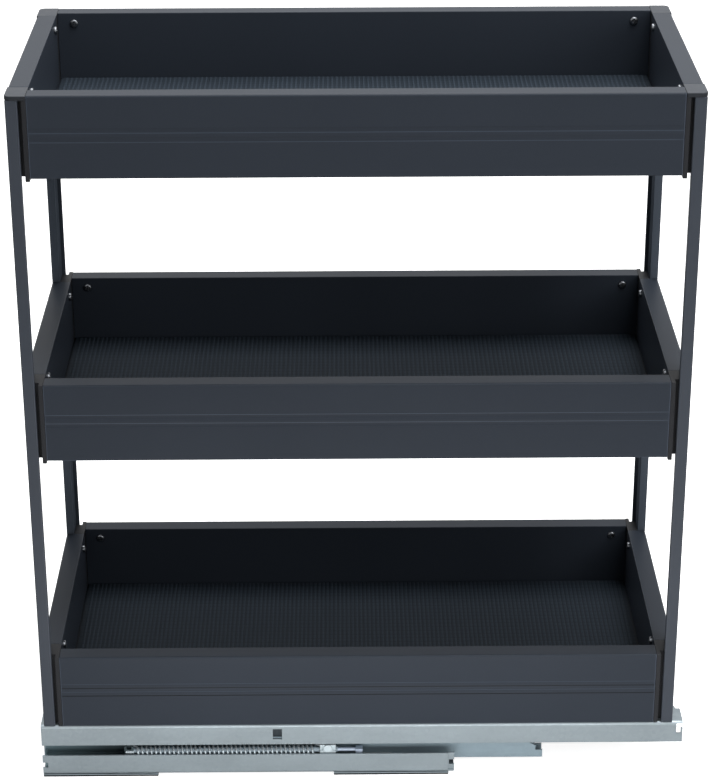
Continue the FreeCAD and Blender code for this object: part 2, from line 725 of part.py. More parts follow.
def roller_cage(doc, s, side, lower):
    """Strip with two groups of rollers, kept straight by skirts along the middle member."""
    name, facing = side
    label = "%s_%s_rollers" % (name, "lower" if lower else "upper")
    solid = Solid(doc, label + "_cage")
    half_gap = s.roller_gap / 2
    centre = s.fixed_floor + half_gap if lower else s.rail_under - half_gap
    rise = 1 if lower else -1
    near, far = s.middle_offset - s.cage_play, s.middle_offset + s.middle_width + s.cage_play
    skirt, half_strip = s.cage_skirt_thickness, rise * s.cage_strip_thickness / 2
    tip = centre + rise * s.cage_skirt_height
    section = [(near - skirt, centre - half_strip), (far + skirt, centre - half_strip), (far + skirt, tip),
               (far, tip), (far, centre + half_strip), (near, centre + half_strip), (near, tip),
               (near - skirt, tip)]
    left, right = (s.lower_cage_left, s.lower_cage_right) if lower else (s.upper_cage_left, s.upper_cage_right)
    solid.add("X", left, right, [[(facing * d, z) for d, z in section]])
    places = [left + s.cage_end + s.roller_pitch * step for step in range(3)]
    places += [right - s.cage_end - s.roller_pitch * step for step in range(3)]
    middle = s.middle_offset + s.middle_width / 2
    reach = s.roller_length / 2 + s.cage_window_play
    half_window = s.roller_radius + s.cage_window_play
    windows = [rectangle(x - half_window, x + half_window, facing * (middle - reach), facing * (middle + reach))
               for x in places]
    solid.cut("Z", centre - s.cage_strip_thickness, centre + s.cage_strip_thickness, windows)
    at_slide(solid, s, facing)
    rollers = []
    for index, x in enumerate(places):
        y = -facing * (s.slide_face - middle) - s.roller_length / 2
        rollers.append(round_bar(doc, "%s_%d" % (label, index), (x, y, centre), Y_AXIS, s.roller_length,
                                 s.roller_radius))
    return gather(doc, label, [solid.body] + rollers)


def base_plate(doc, s, name, left):
    """Plate under both fixed channels, with four holes for the cabinet floor."""
    solid = Solid(doc, "%s_base_plate" % name)
    half_length, half_width = s.plate_length / 2, s.slide_face - s.plate_inset
    holes = [(sx * s.plate_hole_spacing_x / 2, sy * s.plate_hole_spacing_y / 2, s.plate_hole_radius)
             for sx in (-1, 1) for sy in (-1, 1)]
    solid.add("Z", ZERO, s.plate_thickness,
              [rectangle(-half_length, half_length, -half_width, half_width)], holes)
    return solid.place(left + half_length, ZERO, ZERO)


# Soft close, in the front slide: the catch and the damper cylinder run together along the carrier and
# stretch the spring between the catch and the anchor.

def soft_close_carrier(doc, s):
    """Moulding in the front channel: a groove that guides the catch, a thin wall behind its track and
    cross ribs below."""
    solid = Solid(doc, "soft_close_carrier")
    near, far = s.carrier_offset, s.carrier_offset + s.carrier_width
    left, right, skin = s.carrier_left, s.carrier_left + s.carrier_length, s.carrier_skin
    solid.add("X", left, right, [rectangle(near, far, s.fixed_floor, s.carrier_top)])
    track_end = s.catch_left - s.cage_play
    back = s.track_offset + s.track_wall
    shelf = s.carrier_top - skin / 6
    wall = [(far - skin / 2, shelf), (back, shelf), (back, s.carrier_top + s.track_height),
            (s.track_offset, s.carrier_top + s.track_height), (s.track_offset, s.carrier_top + skin),
            (far - skin / 2, s.carrier_top + skin)]
    solid.add("X", left, track_end, [wall])
    solid.add("X", left, left + skin, [rectangle(near, far, s.carrier_top, s.damper_z)])
    foot = s.catch_foot_width / 2 + s.cage_play
    groove = rectangle(left + 2 * skin, s.catch_right + skin, s.damper_offset - foot, s.damper_offset + foot)
    solid.cut("Z", s.carrier_top - s.catch_foot_depth - skin / 2, s.carrier_top + 2 * skin, [groove])
    cell = (s.carrier_length - skin) / CARRIER_CELLS
    cells = [rectangle(left + cell * step + skin, left + cell * (step + 1), near + skin, far - skin)
             for step in range(CARRIER_CELLS)]
    solid.cut("Z", s.fixed_floor - skin, s.carrier_top - s.catch_foot_depth - 2 * skin, cells)
    return at_slide(solid, s, 1)


def catch(doc, s):
    """Block that the trigger pushes along, with a foot in the groove of the carrier."""
    solid = Solid(doc, "catch")
    half = s.catch_width / 2
    low, high = s.damper_z - s.catch_lower, s.catch_top
    left, right = s.catch_left, s.catch_right
    solid.add("X", left, right, [rectangle(s.damper_offset - half, s.damper_offset + half, low, high)])
    foot = s.catch_foot_width / 2
    solid.add("X", left, right, [rectangle(s.damper_offset - foot, s.damper_offset + foot,
                                           s.carrier_top - s.catch_foot_depth, low)])
    centre = (left + right) / 2
    notch = rectangle(centre - s.trigger_pin_radius, centre + s.trigger_pin_radius, high - s.catch_notch, high + half)
    cut_across(solid, 1, s.damper_offset - half - half, s.damper_offset + half / 3, notch)
    return at_slide(solid, s, 1)


def damper_cylinder(doc, s):
    solid = Solid(doc, "damper_cylinder")
    axis = (s.damper_offset, s.damper_z)
    tail = s.anchor_right + s.cylinder_tail
    solid.add("X", s.catch_right, tail, circles=[axis + (s.cylinder_radius,), axis + (s.cylinder_bore,)])
    solid.add("X", s.catch_right, s.catch_right + s.cylinder_tail, circles=[axis + (s.cylinder_radius,)])
    return at_slide(solid, s, 1)


def damper_rod(doc, s):
    """Rod of the damper, moulded into the block that ends the carrier."""
    solid = Solid(doc, "damper_rod")
    left, right = s.end_block_left, s.end_block_left + s.end_block_length
    half = s.catch_width / 2
    solid.add("X", left, right, [rectangle(s.damper_offset - half, s.damper_offset + half, s.carrier_top,
                                           s.damper_z + s.end_block_upper)])
    tip = s.anchor_right + s.cylinder_tail - s.rod_overlap
    solid.add("X", tip, left, circles=[(s.damper_offset, s.damper_z, s.rod_radius)])
    return at_slide(solid, s, 1)


def spring_anchor(doc, s):
    """Block that holds the fixed end of the spring, bored for the cylinder, with a round boss in front and
    a notch in each side."""
    solid = Solid(doc, "spring_anchor")
    left, right = s.anchor_left, s.anchor_right
    front = s.carrier_offset + s.anchor_boss_height
    back = s.carrier_offset + s.carrier_width - s.cage_play
    solid.add("X", left, right, [rectangle(front, back, s.carrier_top, s.damper_z + s.anchor_upper)])
    centre = (left + right) / 2
    solid.add("Y", s.carrier_offset, front,
              circles=[(centre, s.damper_z + s.anchor_boss_rise, s.anchor_boss_radius)])
    for start in (left - s.anchor_notch_width, right - s.anchor_notch_width):
        notch = rectangle(start, start + 2 * s.anchor_notch_width, s.damper_z + s.anchor_notch_low,
                          s.damper_z + s.anchor_notch_high)
        cut_across(solid, 1, s.carrier_offset, front + s.anchor_notch_depth, notch)
    bore = s.cylinder_radius + s.cylinder_play
    solid.cut("X", left - bore, right + bore, circles=[(s.damper_offset, s.damper_z, bore)])
    return at_slide(solid, s, 1)


def catch_trigger(doc, s):
    """Block inside the rail whose pin stands just over the catch."""
    solid = Solid(doc, "catch_trigger")
    centre = (s.catch_left + s.catch_right) / 2
    low = s.rail_bottom + s.slide_sheet
    solid.add("X", centre - s.trigger_length / 2, centre + s.trigger_length / 2,
              [rectangle(s.slide_sheet, s.slide_sheet + s.trigger_width, low, low + s.trigger_height)])
    across = s.slide_sheet + s.trigger_width - s.trigger_pin_radius
    solid.add("Z", s.catch_top + s.trigger_play, low + s.trigger_pin_radius,
              circles=[(centre, across, s.trigger_pin_radius)])
    return at_slide(solid, s, 1)


def arc_between(start, tangent, end):
    """Circular arc from a start with its tangent to an end."""
    chord = end - start
    across = tangent - chord * (tangent.dot(chord) / chord.dot(chord))
    if across.Length < FLAT:
        return Part.LineSegment(start, end).toShape()
    half_angle = math.atan2(across.Length, tangent.dot(chord) / chord.Length) / 2
    top = start + chord / 2 + across.normalize() * (chord.Length / 2 * math.tan(half_angle))
    return Part.Arc(start, top, end).toShape()


def two_arcs(start, tangent, end, end_tangent):
    """Two arcs that join smoothly and meet both ends along their tangents."""
    chord = end - start
    a = 2 * (1 - tangent.dot(end_tangent))
    b = 2 * chord.dot(tangent + end_tangent)
    c = -chord.dot(chord)
    reach = -c / b if abs(a) < FLAT else (math.sqrt(b * b - 4 * a * c) - b) / (2 * a)
    corner, end_corner = start + tangent * reach, end - end_tangent * reach
    middle = (corner + end_corner) / 2
    return [arc_between(start, tangent, middle), arc_between(middle, (end_corner - corner).normalize(), end)]


def soft_close_spring(doc, s):
    """Wound spring round the cylinder. Each end turns into a short straight leg that stands square on
    the catch or the anchor."""
    wire, radius, length = (float(size) for size in (s.spring_wire_radius, s.spring_radius, s.spring_length))
    bend = SPRING_BEND * wire
    leg = 2 * wire
    lead = math.atan2(bend, radius)
    first, last = math.pi / 2 + lead, math.pi / 2 - lead + 2 * math.pi * SPRING_TURNS
    start_x, end_x = leg + bend, length - leg - bend
    slope = (end_x - start_x) / (last - first)
    height = math.hypot(radius, bend)
    along = Vector(1, 0, 0)

    def on_coil(angle):
        point = Vector(start_x + slope * (angle - first), radius * math.cos(angle), radius * math.sin(angle))
        tangent = Vector(slope, -radius * math.sin(angle), radius * math.cos(angle))
        return point, tangent.normalize()

    stations = [(Vector(leg, 0, height), along)]
    for step in range(2 * SPRING_TURNS + 1):
        stations.append(on_coil(first + (last - first) * step / (2 * SPRING_TURNS)))
    stations.append((Vector(length - leg, 0, height), along))
    edges = [Part.LineSegment(Vector(0, 0, height), stations[0][0]).toShape()]
    for (start, tangent), (end, end_tangent) in zip(stations, stations[1:]):
        edges += two_arcs(start, tangent, end, end_tangent)
    edges.append(Part.LineSegment(stations[-1][0], Vector(length, 0, height)).toShape())
    path = Part.Wire(edges)
    section = Part.Wire(Part.makeCircle(wire, Vector(0, 0, height), along))
    solid = path.makePipeShell([section], True, False)
    print_coil_gap(path, wire, 2 * math.pi * radius)
    spring = doc.addObject("Part::Feature", "soft_close_spring")
    spring.Label = "soft_close_spring"
    spring.Shape = solid
    place(spring, s.catch_right, -s.slide_face + s.damper_offset, s.damper_z)
    return spring


def print_coil_gap(path, wire, turn):
    """Print the least gap of the wire to itself, measured on points along its middle line."""
    count = int(path.Length / (wire / 2))
    points = path.discretize(Number=count)
    spacing = path.Length / (count - 1)
    skip, span = int(turn * 0.6 / spacing), int(turn * 1.6 / spacing)
    least = min(points[i].distanceToPoint(points[j])
                for i in range(0, count, 2) for j in range(i + skip, min(i + span, count), 2))
    print("least gap between coils %.2f mm" % (least - 2 * wire))


# Fasteners. Each screw is a head and a shank from its seat, and the screws of one kind are one sub-part.

def round_bar(doc, name, position, axis, length, radius, tip_radius=None):
    """Cylinder, or a cone where the far end has another radius."""
    bar = doc.addObject("Part::Cone" if tip_radius else "Part::Cylinder", name)
    sizes = {"Height": length, "Radius1": radius, "Radius2": tip_radius} if tip_radius else \
        {"Height": length, "Radius": radius}
    for prop, size in sizes.items():
        setattr(bar, prop, size.value)
        bar.setExpression(prop, size.text)
    x, y, z = (Size.of(value) for value in position)
    bar.Placement = Placement(Vector(x.value, y.value, z.value), Rotation(Z_AXIS, axis))
    for prop, size in (("x", x), ("y", y), ("z", z)):
        bar.setExpression("Placement.Base." + prop, size.text)
    return bar


def screw(doc, s, name, seat, direction, reach):
    """Screw whose shank points along a direction and whose head sits on the seat."""
    shank = round_bar(doc, name + "_shank", seat, direction, reach, s.screw_radius)
    head = round_bar(doc, name + "_head", seat, direction * -1, s.screw_head_height, s.screw_head_radius,
                     s.screw_head_radius * SCREW_HEAD_TAPER)
    whole = doc.addObject("Part::Fuse", name)
    whole.Base, whole.Tool = head, shank
    return whole


def basket_screws(doc, s):
    screws = []
    for tier in TIERS:
        z = s.lip[tier] - s.basket_screw_drop
        for name, sx, sy in CORNERS:
            long_x = s.basket_x + sx * (s.half_length - s.wall_width - s.long_wall_screw_inset)
            side_y = sy * (s.half_width - s.wall_width - s.side_wall_screw_inset)
            long_seat = (long_x, sy * (s.half_width - s.wall_width), z)
            side_seat = (s.basket_x + sx * (s.half_length - s.wall_width), side_y, z)
            tag = "%s_%s_screw" % (tier, name)
            screws.append(screw(doc, s, tag + "_a", long_seat, Y_AXIS * sy, s.screw_reach))
            screws.append(screw(doc, s, tag + "_b", side_seat, X_AXIS * sx, s.screw_reach))
    return gather(doc, "basket_screws", screws)


def post_screws(doc, s):
    screws = []
    for name, sx, sy in CORNERS:
        x = s.basket_x + sx * (s.half_length - s.post_width + s.post_skin)
        y = sy * (s.half_width - (s.post_depth + s.nose_depth) / 2)
        for tier in TIERS:
            for index, drop in enumerate(post_screw_drops(s)):
                tag = "%s_%s_post_screw_%d" % (tier, name, index)
                screws.append(screw(doc, s, tag, (x, y, s.lip[tier] - drop), X_AXIS * -sx, s.post_screw_reach))
    return gather(doc, "post_screws", screws)


def rail_screws(doc, s):
    screws = []
    for name, facing in SIDES:
        y = -facing * (s.slide_face - s.damper_offset)
        for index, x in enumerate(rail_screw_places(s)):
            tag = "%s_rail_screw_%d" % (name, index)
            screws.append(screw(doc, s, tag, (x, y, s.rail_under), Z_AXIS, s.rail_screw_reach))
    return gather(doc, "rail_screws", screws)


def rail_screw_places(s):
    return [s.basket_x + s.rail_screw_spacing * step for step in (-1.5, -0.5, 0.5, 1.5)]


def build(doc):
    s = work_out(fill_sheet(doc))
    nodes = []
    for tier in TIERS:
        for side in SIDES:
            nodes.append(long_wall(doc, s, tier, side))
        for name, facing in (("left", 1), ("right", -1)):
            nodes.append(side_wall(doc, s, tier, name, facing))
        nodes.append(floor_panel(doc, s, tier))
        nodes.append(floor_mat(doc, s, tier))
        for corner in CORNERS:
            nodes.append(connector(doc, s, tier, corner))
    for corner in CORNERS:
        nodes.append(post(doc, s, corner))
        nodes.append(cap(doc, s, corner))
    for side in SIDES:
        nodes.append(fixed_channel(doc, s, side))
        nodes.append(top_rail(doc, s, side))
        nodes.append(middle_member(doc, s, side))
        nodes.append(roller_cage(doc, s, side, True))
        nodes.append(roller_cage(doc, s, side, False))
    nodes.append(base_plate(doc, s, "door_end", s.slide_left))
    nodes.append(base_plate(doc, s, "inner", s.fixed_right - s.inner_plate_end - s.plate_length))
    for make in (soft_close_carrier, catch, damper_cylinder, damper_rod, spring_anchor, soft_close_spring,
                 catch_trigger, basket_screws, post_screws, rail_screws):
        nodes.append(make(doc, s))
    doc.recompute()
    return nodes


def check(doc, nodes):
    """Stop before anything is written if a feature failed or a pocket cut nothing."""
    for item in doc.Objects:
        if "Invalid" in item.State or "Error" in item.State:
            raise RuntimeError("%s did not build: %s" % (item.Label, item.State))
        if item.TypeId == "PartDesign::Pocket" and not item.Shape.Volume < item.BaseFeature.Shape.Volume:
            raise RuntimeError("%s cuts nothing" % item.Label)
    for node in nodes:
        if node.Shape.isNull() or not node.Shape.isValid() or not node.Shape.Solids:
            raise RuntimeError("%s has no valid solid" % node.Label)


def write(nodes):
    os.makedirs("parts", exist_ok=True)
    for node in nodes:
        node.Shape.exportStep(os.path.join("parts", node.Label + ".step"))


def main():
    doc = FreeCAD.newDocument("ShelvingRack")
    nodes = build(doc)
    check(doc, nodes)
    write(nodes)
    print("%d nodes" % len(nodes))


main()
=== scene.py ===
"""Pull-out cabinet rack, dressed for a studio picture.

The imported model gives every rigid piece. Here the extrusions, the folded sheet and the moulded corners
get soft edges and their finishes, and the ribbed mats, the screws and the wound spring are made anew.
All lengths are metres.
"""

from __future__ import annotations

import logging
import math
from dataclasses import dataclass, fields
from enum import Enum
from typing import Callable, Sequence, Union

import bmesh
import bpy
from mathutils import Matrix, Vector
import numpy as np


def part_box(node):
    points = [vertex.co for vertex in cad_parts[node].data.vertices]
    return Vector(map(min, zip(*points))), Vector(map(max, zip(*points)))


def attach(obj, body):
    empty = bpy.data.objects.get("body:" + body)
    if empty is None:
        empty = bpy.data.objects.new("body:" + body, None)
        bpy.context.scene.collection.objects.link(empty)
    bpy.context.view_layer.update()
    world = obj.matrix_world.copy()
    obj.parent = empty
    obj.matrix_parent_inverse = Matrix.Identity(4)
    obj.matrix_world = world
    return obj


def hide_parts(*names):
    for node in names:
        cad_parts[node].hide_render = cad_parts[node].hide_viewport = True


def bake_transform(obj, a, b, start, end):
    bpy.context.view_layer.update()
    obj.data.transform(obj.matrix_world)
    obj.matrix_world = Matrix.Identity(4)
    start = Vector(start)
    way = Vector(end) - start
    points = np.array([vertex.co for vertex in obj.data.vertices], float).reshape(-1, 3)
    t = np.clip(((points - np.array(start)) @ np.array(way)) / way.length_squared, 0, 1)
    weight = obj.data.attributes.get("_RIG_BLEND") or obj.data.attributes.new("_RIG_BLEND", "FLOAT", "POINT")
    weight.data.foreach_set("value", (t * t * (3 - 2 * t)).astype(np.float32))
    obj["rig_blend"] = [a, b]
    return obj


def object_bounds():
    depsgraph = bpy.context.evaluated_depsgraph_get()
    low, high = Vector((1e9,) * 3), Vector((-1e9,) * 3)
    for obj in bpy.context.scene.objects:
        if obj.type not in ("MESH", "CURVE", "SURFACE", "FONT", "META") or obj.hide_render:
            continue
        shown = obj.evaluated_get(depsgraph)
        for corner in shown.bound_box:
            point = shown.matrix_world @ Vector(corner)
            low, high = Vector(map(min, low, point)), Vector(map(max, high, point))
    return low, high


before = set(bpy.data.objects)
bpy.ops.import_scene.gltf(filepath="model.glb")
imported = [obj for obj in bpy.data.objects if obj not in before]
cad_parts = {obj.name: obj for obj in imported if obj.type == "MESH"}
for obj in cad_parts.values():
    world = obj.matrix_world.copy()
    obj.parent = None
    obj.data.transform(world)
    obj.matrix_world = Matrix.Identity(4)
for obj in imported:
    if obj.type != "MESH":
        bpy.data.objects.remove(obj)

CAD_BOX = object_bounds()
MM = 0.001
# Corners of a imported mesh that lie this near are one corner.
MERGE_REACH = 0.0005 * MM
# A cut takes corners that lie this near as lying on it.
CUT_REACH = 0.001 * MM
# Corners that lie this near to a level lie on it.
LEVEL_REACH = 0.02 * MM
# Faces that turn by fewer degrees are one flat face.
FLAT_TURN = 0.5
# Edges that turn by fewer degrees stay as they are, and each rounding has this many steps.
SOFT_TURN = 40.0
SOFT_STEPS = 2
# Most of a noise lies between these values.
NOISE_BAND = (0.3, 0.7)
WHITE = (1.0, 1.0, 1.0, 1.0)
# Names of the marks on faces that the finishes read.
EDGE_MARK = "edge_mark"
RIB_MARK = "rib_mark"
# Painted light and shade on the walls' bands and a painted highlight along their ends.
PAINTED_LIGHT_MARK = "line_mark"
log = logging.getLogger("rack")

Colour = tuple[float, float, float]
Place = tuple[float, float, float]
Finishes = dict[str, bpy.types.Material]
Value = Union["Wire", float]


class Tier(Enum):
    """The three baskets, from the slides upwards."""

    BOTTOM = "bottom"
    MIDDLE = "middle"
    TOP = "top"


class Side(Enum):
    """The long sides of the rack, each on a slide of its own."""

    FRONT = "front"
    REAR = "rear"


class Wall(Enum):
    """The walls of a basket and the way that the outer face of each looks."""

    FRONT = ("front", (0.0, -1.0, 0.0))
    REAR = ("rear", (0.0, 1.0, 0.0))
    LEFT = ("left", (-1.0, 0.0, 0.0))
    RIGHT = ("right", (1.0, 0.0, 0.0))

    @property
    def word(self) -> str:
        """Name of the wall, as the nodes have it."""
        return self.value[0]

    @property
    def outward(self) -> Vector:
        """The way its outer face looks."""
        return Vector(self.value[1])


class Corner(Enum):
    """The corners of the rack, where its posts stand."""

    FRONT_LEFT = "front_left"
    FRONT_RIGHT = "front_right"
    REAR_LEFT = "rear_left"
    REAR_RIGHT = "rear_right"

    @property
    def in_front(self) -> bool:
        """Whether the corner lies on the front side."""
        return self in (Corner.FRONT_LEFT, Corner.FRONT_RIGHT)


# Node trees


class Wire:
    """An output socket with arithmetic: an expression on wires adds its Math nodes."""

    def __init__(self, sketch: "Sketch", socket: bpy.types.NodeSocket) -> None:
        """Wrap a socket.

        Args:
            sketch: The tree that the socket's node is in.
            socket: The output to draw from.
        """
        self.sketch = sketch
        self.socket = socket

    def maths(self, operation: str, first: Value, second: Value) -> "Wire":
        """Add a Math node on two values.

        Args:
            operation: The node's operation.
            first: Its first value.
            second: Its second value.

        Returns:
            The node's result.
        """
        return self.sketch.node("ShaderNodeMath", {"operation": operation}, {0: first, 1: second})

    def __add__(self, other: Value) -> "Wire":
        """Sum."""
        return self.maths("ADD", self, other)

    __radd__ = __add__

    def __sub__(self, other: Value) -> "Wire":
        """Difference."""
        return self.maths("SUBTRACT", self, other)

    def __rsub__(self, other: Value) -> "Wire":
        """Difference with the wire last."""
        return self.maths("SUBTRACT", other, self)

    def __mul__(self, other: Value) -> "Wire":
        """Product."""
        return self.maths("MULTIPLY", self, other)

    __rmul__ = __mul__

    def __truediv__(self, other: Value) -> "Wire":
        """Quotient."""
        return self.maths("DIVIDE", self, other)

    def __rtruediv__(self, other: Value) -> "Wire":
        """Quotient with the wire last."""
        return self.maths("DIVIDE", other, self)

    def sine(self) -> "Wire":
        """Sine of the value."""
        return self.maths("SINE", self, 0.0)

    def limited(self, low: float, high: float, to_low: float = 0.0, to_high: float = 1.0) -> "Wire":
        """Map a range to another and stop at its ends.

        Args:
            low: Value that becomes to_low.
            high: Value that becomes to_high.
            to_low: Result at the low end.
            to_high: Result at the high end.

        Returns:
            The mapped value.
        """
        settings = {"clamp": True}
        return self.sketch.node("ShaderNodeMapRange", settings,
                                {0: self, 1: low, 2: high, 3: to_low, 4: to_high})


class Sketch:
    """A node tree under construction."""

    def __init__(self, tree: bpy.types.NodeTree) -> None:
        """Start on a tree.

        Args:
            tree: The tree that gets the nodes.
        """
        self.tree = tree

    def node(self, kind: str, settings: dict | None = None, sockets: dict | None = None,
             out: Union[int, str] = 0) -> Wire:
        """Add one node.

        Args:
            kind: The node's type.
            settings: Its own settings, set before its sockets.
            sockets: Values or wires for its inputs, by name or number.
            out: The output to return.

        Returns:
            The chosen output, or the closing node's input where a node has no output.
        """
        made = self.tree.nodes.new(kind)
        for name, value in (settings or {}).items():
            setattr(made, name, value)
        for name, value in (sockets or {}).items():
            self.feed(made.inputs[name], value)
        return Wire(self, made.outputs[out] if made.outputs else made.inputs[0])

    def feed(self, socket: bpy.types.NodeSocket, value: object) -> None:
        """Link a wire to an input, or set the input's own value.

        Args:
            socket: The input.
            value: A wire, several wires for a joining input, or a plain value.
        """
        if isinstance(value, Wire):
            self.tree.links.new(value.socket, socket)
        elif isinstance(value, list):
            for wire in value:
                self.tree.links.new(wire.socket, socket)
        else:
            socket.default_value = value

    def rays(self, kind: str) -> Wire:
        """One for one kind of ray and zero for the others."""
        return self.node("ShaderNodeLightPath", {}, {}, out=kind)


class SurfaceSketch(Sketch):
    """The node tree of a material, with the patterns that the finishes share."""

    def __init__(self, material: bpy.types.Material) -> None:
        """Start on an empty material.

        Args:
            material: The material to paint.
        """
        material.use_nodes = True
        super().__init__(material.node_tree)
        self.tree.nodes.clear()
        self.place = self.node("ShaderNodeTexCoord", out="Object")

    def noise(self, grain: float, detail: float = 2.0, stretch: Place = (1.0, 1.0, 1.0),
              rough: float = 0.5) -> Wire:
        """Noise on the piece's own coordinates.

        Args:
            grain: Size of its grains.
            detail: Octaves.
            stretch: How much longer a grain is along each axis.
            rough: Weight of the finer octaves.

        Returns:
            A value round 0.5.
        """
        scale = tuple(1.0 / (grain * part) for part in stretch)
        placed = self.node("ShaderNodeMapping", {}, {"Vector": self.place, "Scale": scale})
        return self.node("ShaderNodeTexNoise", {}, {"Vector": placed, "Scale": 1.0, "Detail": detail,
                                                    "Roughness": rough}, out="Fac")

    def axis(self, name: str) -> Wire:
        """One coordinate of the place.

        Args:
            name: X, Y or Z.

        Returns:
            The coordinate in metres.
        """
        return self.node("ShaderNodeSeparateXYZ", {}, {0: self.place}, out=name)

    def mark(self, name: str) -> Wire:
        """Value of one of the marks on the faces."""
        return self.node("ShaderNodeAttribute", {"attribute_name": name}, out="Fac")

    def worn(self) -> Wire:
        """How far a point lies on a softened edge, from 0 to 1."""
        return self.mark(EDGE_MARK)

    def blend(self, share: Value, first: object, second: object) -> Wire:
        """Mix two colours.

        Args:
            share: Share of the second colour.
            first: A colour or a wire.
            second: A colour or a wire.

        Returns:
            The mixed colour.
        """
        first = (*first, 1.0) if isinstance(first, tuple) else first
        second = (*second, 1.0) if isinstance(second, tuple) else second
        return self.node("ShaderNodeMix", {"data_type": "RGBA"}, {0: share, 6: first, 7: second}, out=2)

    def bump(self, height: Wire, depth: float) -> Wire:
        """Turn a height into a normal.

        Args:
            height: Height from 0 to 1.
            depth: Real depth of a full step.

        Returns:
            The bumped normal.
        """
        return self.node("ShaderNodeBump", {}, {"Height": height, "Distance": depth, "Strength": 1.0},
                         out="Normal")

    def close(self, sockets: dict) -> None:
        """Add the shader and the output.

        Args:
            sockets: The shader's inputs.
        """
        shader = self.node("ShaderNodeBsdfPrincipled", {}, sockets)
        self.node("ShaderNodeOutputMaterial", {}, {"Surface": shader})


def tinted(colour: Colour, factor: float) -> Colour:
    """A lighter or darker colour.

    Args:
        colour: The colour.
        factor: What each channel is multiplied by.

    Returns:
        The new colour, held within 0 and 1.
    """
    return tuple(min(1.0, channel * factor) for channel in colour)


# Finishes


@dataclass(frozen=True)
class Finish:
    """What every finish has: a name, a colour and how rough it is."""

    name: str
    colour: Colour
    roughness: float

    def make(self) -> bpy.types.Material:
        """Build the material.

        Returns:
            The finished material.
        """
        material = bpy.data.materials.new(self.name)
        self.paint(SurfaceSketch(material))
        material.diffuse_color = (*self.colour, 1.0)
        return material

    def paint(self, sketch: SurfaceSketch) -> None:
        """Draw the finish's nodes; each kind has its own way."""
        raise NotImplementedError

    def mottled(self, sketch: SurfaceSketch, pattern: Wire, darkest: float, lightest: float) -> Wire:
        """Vary the finish's colour with a pattern.

        Args:
            sketch: The tree.
            pattern: Noise round 0.5.
            darkest: Factor on the colour where the noise is low.
            lightest: Factor on the colour where it is high.

        Returns:
            The uneven colour.
        """
        return sketch.blend(pattern.limited(*NOISE_BAND), tinted(self.colour, darkest),
                            tinted(self.colour, lightest))

    def toned(self, sketch: SurfaceSketch, shade: Wire, where: Wire, strength: float,
              factor: float) -> Wire:
        """Draw a shade towards a lighter or darker tone of the finish's colour.

        Args:
            sketch: The tree.
            shade: Colour so far.
            where: Where it changes, from 0 to 1.
            strength: Share of the tone where it changes fully.
            factor: How much lighter or darker than the colour the tone is.

        Returns:
            The changed colour.
        """
        return sketch.blend(where * strength, shade, tinted(self.colour, factor))

    def roughened(self, pattern: Wire, low: float, high: float, smoother: float, rougher: float) -> Wire:
        """Vary the finish's roughness with a pattern.

        Args:
            pattern: Noise or a mask.
            low: Value of the pattern where the surface is smoothest.
            high: Value where it is roughest.
            smoother: What the roughness loses there.
            rougher: What it gains.

        Returns:
            The uneven roughness.
        """
        return pattern.limited(low, high, self.roughness - smoother, self.roughness + rougher)


@dataclass(frozen=True)
class PowderCoat(Finish):
    """Baked powder: fine orange peel, a slight unevenness of shade and paler worn edges; marks on the faces
    add painted light and shade on the walls' bands and a painted highlight along their ends.
    """

    grain: float = 0.45 * MM
    peel: float = 0.010 * MM
    cloud: float = 70 * MM
    speck: float = 1.2 * MM
    rub_patch: float = 9 * MM
    wear: float = 0.6
    rub_polish: float = 0.08
    gloss: float = 0.1

    def paint(self, sketch: SurfaceSketch) -> None:
        """Draw the coat.

        Args:
            sketch: The tree to draw in.
        """
        fine = sketch.noise(self.grain, detail=3.0)
        broad = sketch.noise(self.cloud)
        speck = sketch.noise(self.speck, detail=1.0).limited(0.62, 0.75)
        shade = self.mottled(sketch, broad, darkest=0.97, lightest=1.03)
        shade = self.toned(sketch, shade, fine.limited(0.35, 0.65), strength=0.3, factor=1.25)
        shade = self.toned(sketch, shade, speck, strength=0.08, factor=1.8)
        rub = sketch.worn() * sketch.noise(self.rub_patch, detail=3.0).limited(0.35, 0.65, 0.45, 1.0)
        shade = self.toned(sketch, shade, rub, strength=self.wear, factor=2.2)
        # Painted light and shade on the bands and a painted highlight on the wall ends scale the colour.
        line = sketch.mark(PAINTED_LIGHT_MARK)
        shade = sketch.node("ShaderNodeVectorMath", {"operation": "SCALE"},
                            {0: shade, "Scale": line + 1.0})
        rough = self.roughened(fine, *NOISE_BAND, smoother=0.04, rougher=0.05) - rub * self.rub_polish
        sketch.close({"Base Color": shade, "Roughness": rough, "Metallic": 0.0,
                      "Specular IOR Level": self.gloss, "Normal": sketch.bump(fine, self.peel)})


@dataclass(frozen=True)
class Moulding(Finish):
    """Moulded plastic: a spark-eroded grain, faint flow marks and edges made paler as wear; a factor below
    one paints shade on the edges instead.
    """

    grain: float = 0.3 * MM
    depth: float = 0.012 * MM
    flow_mark: float = 5 * MM
    flow: Place = (1.0, 1.0, 6.0)
    gloss: float = 0.2
    edge_lift: float = 1.9
    edge_polish: float = 0.1

    def paint(self, sketch: SurfaceSketch) -> None:
        """Draw the plastic.

        Args:
            sketch: The tree to draw in.
        """
        fine = sketch.noise(self.grain)
        marks = sketch.noise(self.flow_mark, stretch=self.flow)
        shade = self.mottled(sketch, marks, darkest=0.93, lightest=1.07)
        # Edges paler as wear; where the factor is below one, darker as painted shade.
        shade = self.toned(sketch, shade, sketch.worn(), strength=0.5, factor=self.edge_lift)
        shade = self.shaded_sides(sketch, shade)
        rough = self.roughened(marks, 0.2, 0.8, smoother=0.06, rougher=0.08)
        rough = rough - sketch.worn() * self.edge_polish
        sketch.close({"Base Color": shade, "Roughness": rough, "Specular IOR Level": self.gloss,
                      "Normal": sketch.bump(fine, self.depth)})

    def shaded_sides(self, sketch: SurfaceSketch, shade: Wire) -> Wire:
        """The colour as it is: a plain moulding has no painted light or shade."""
        return shade


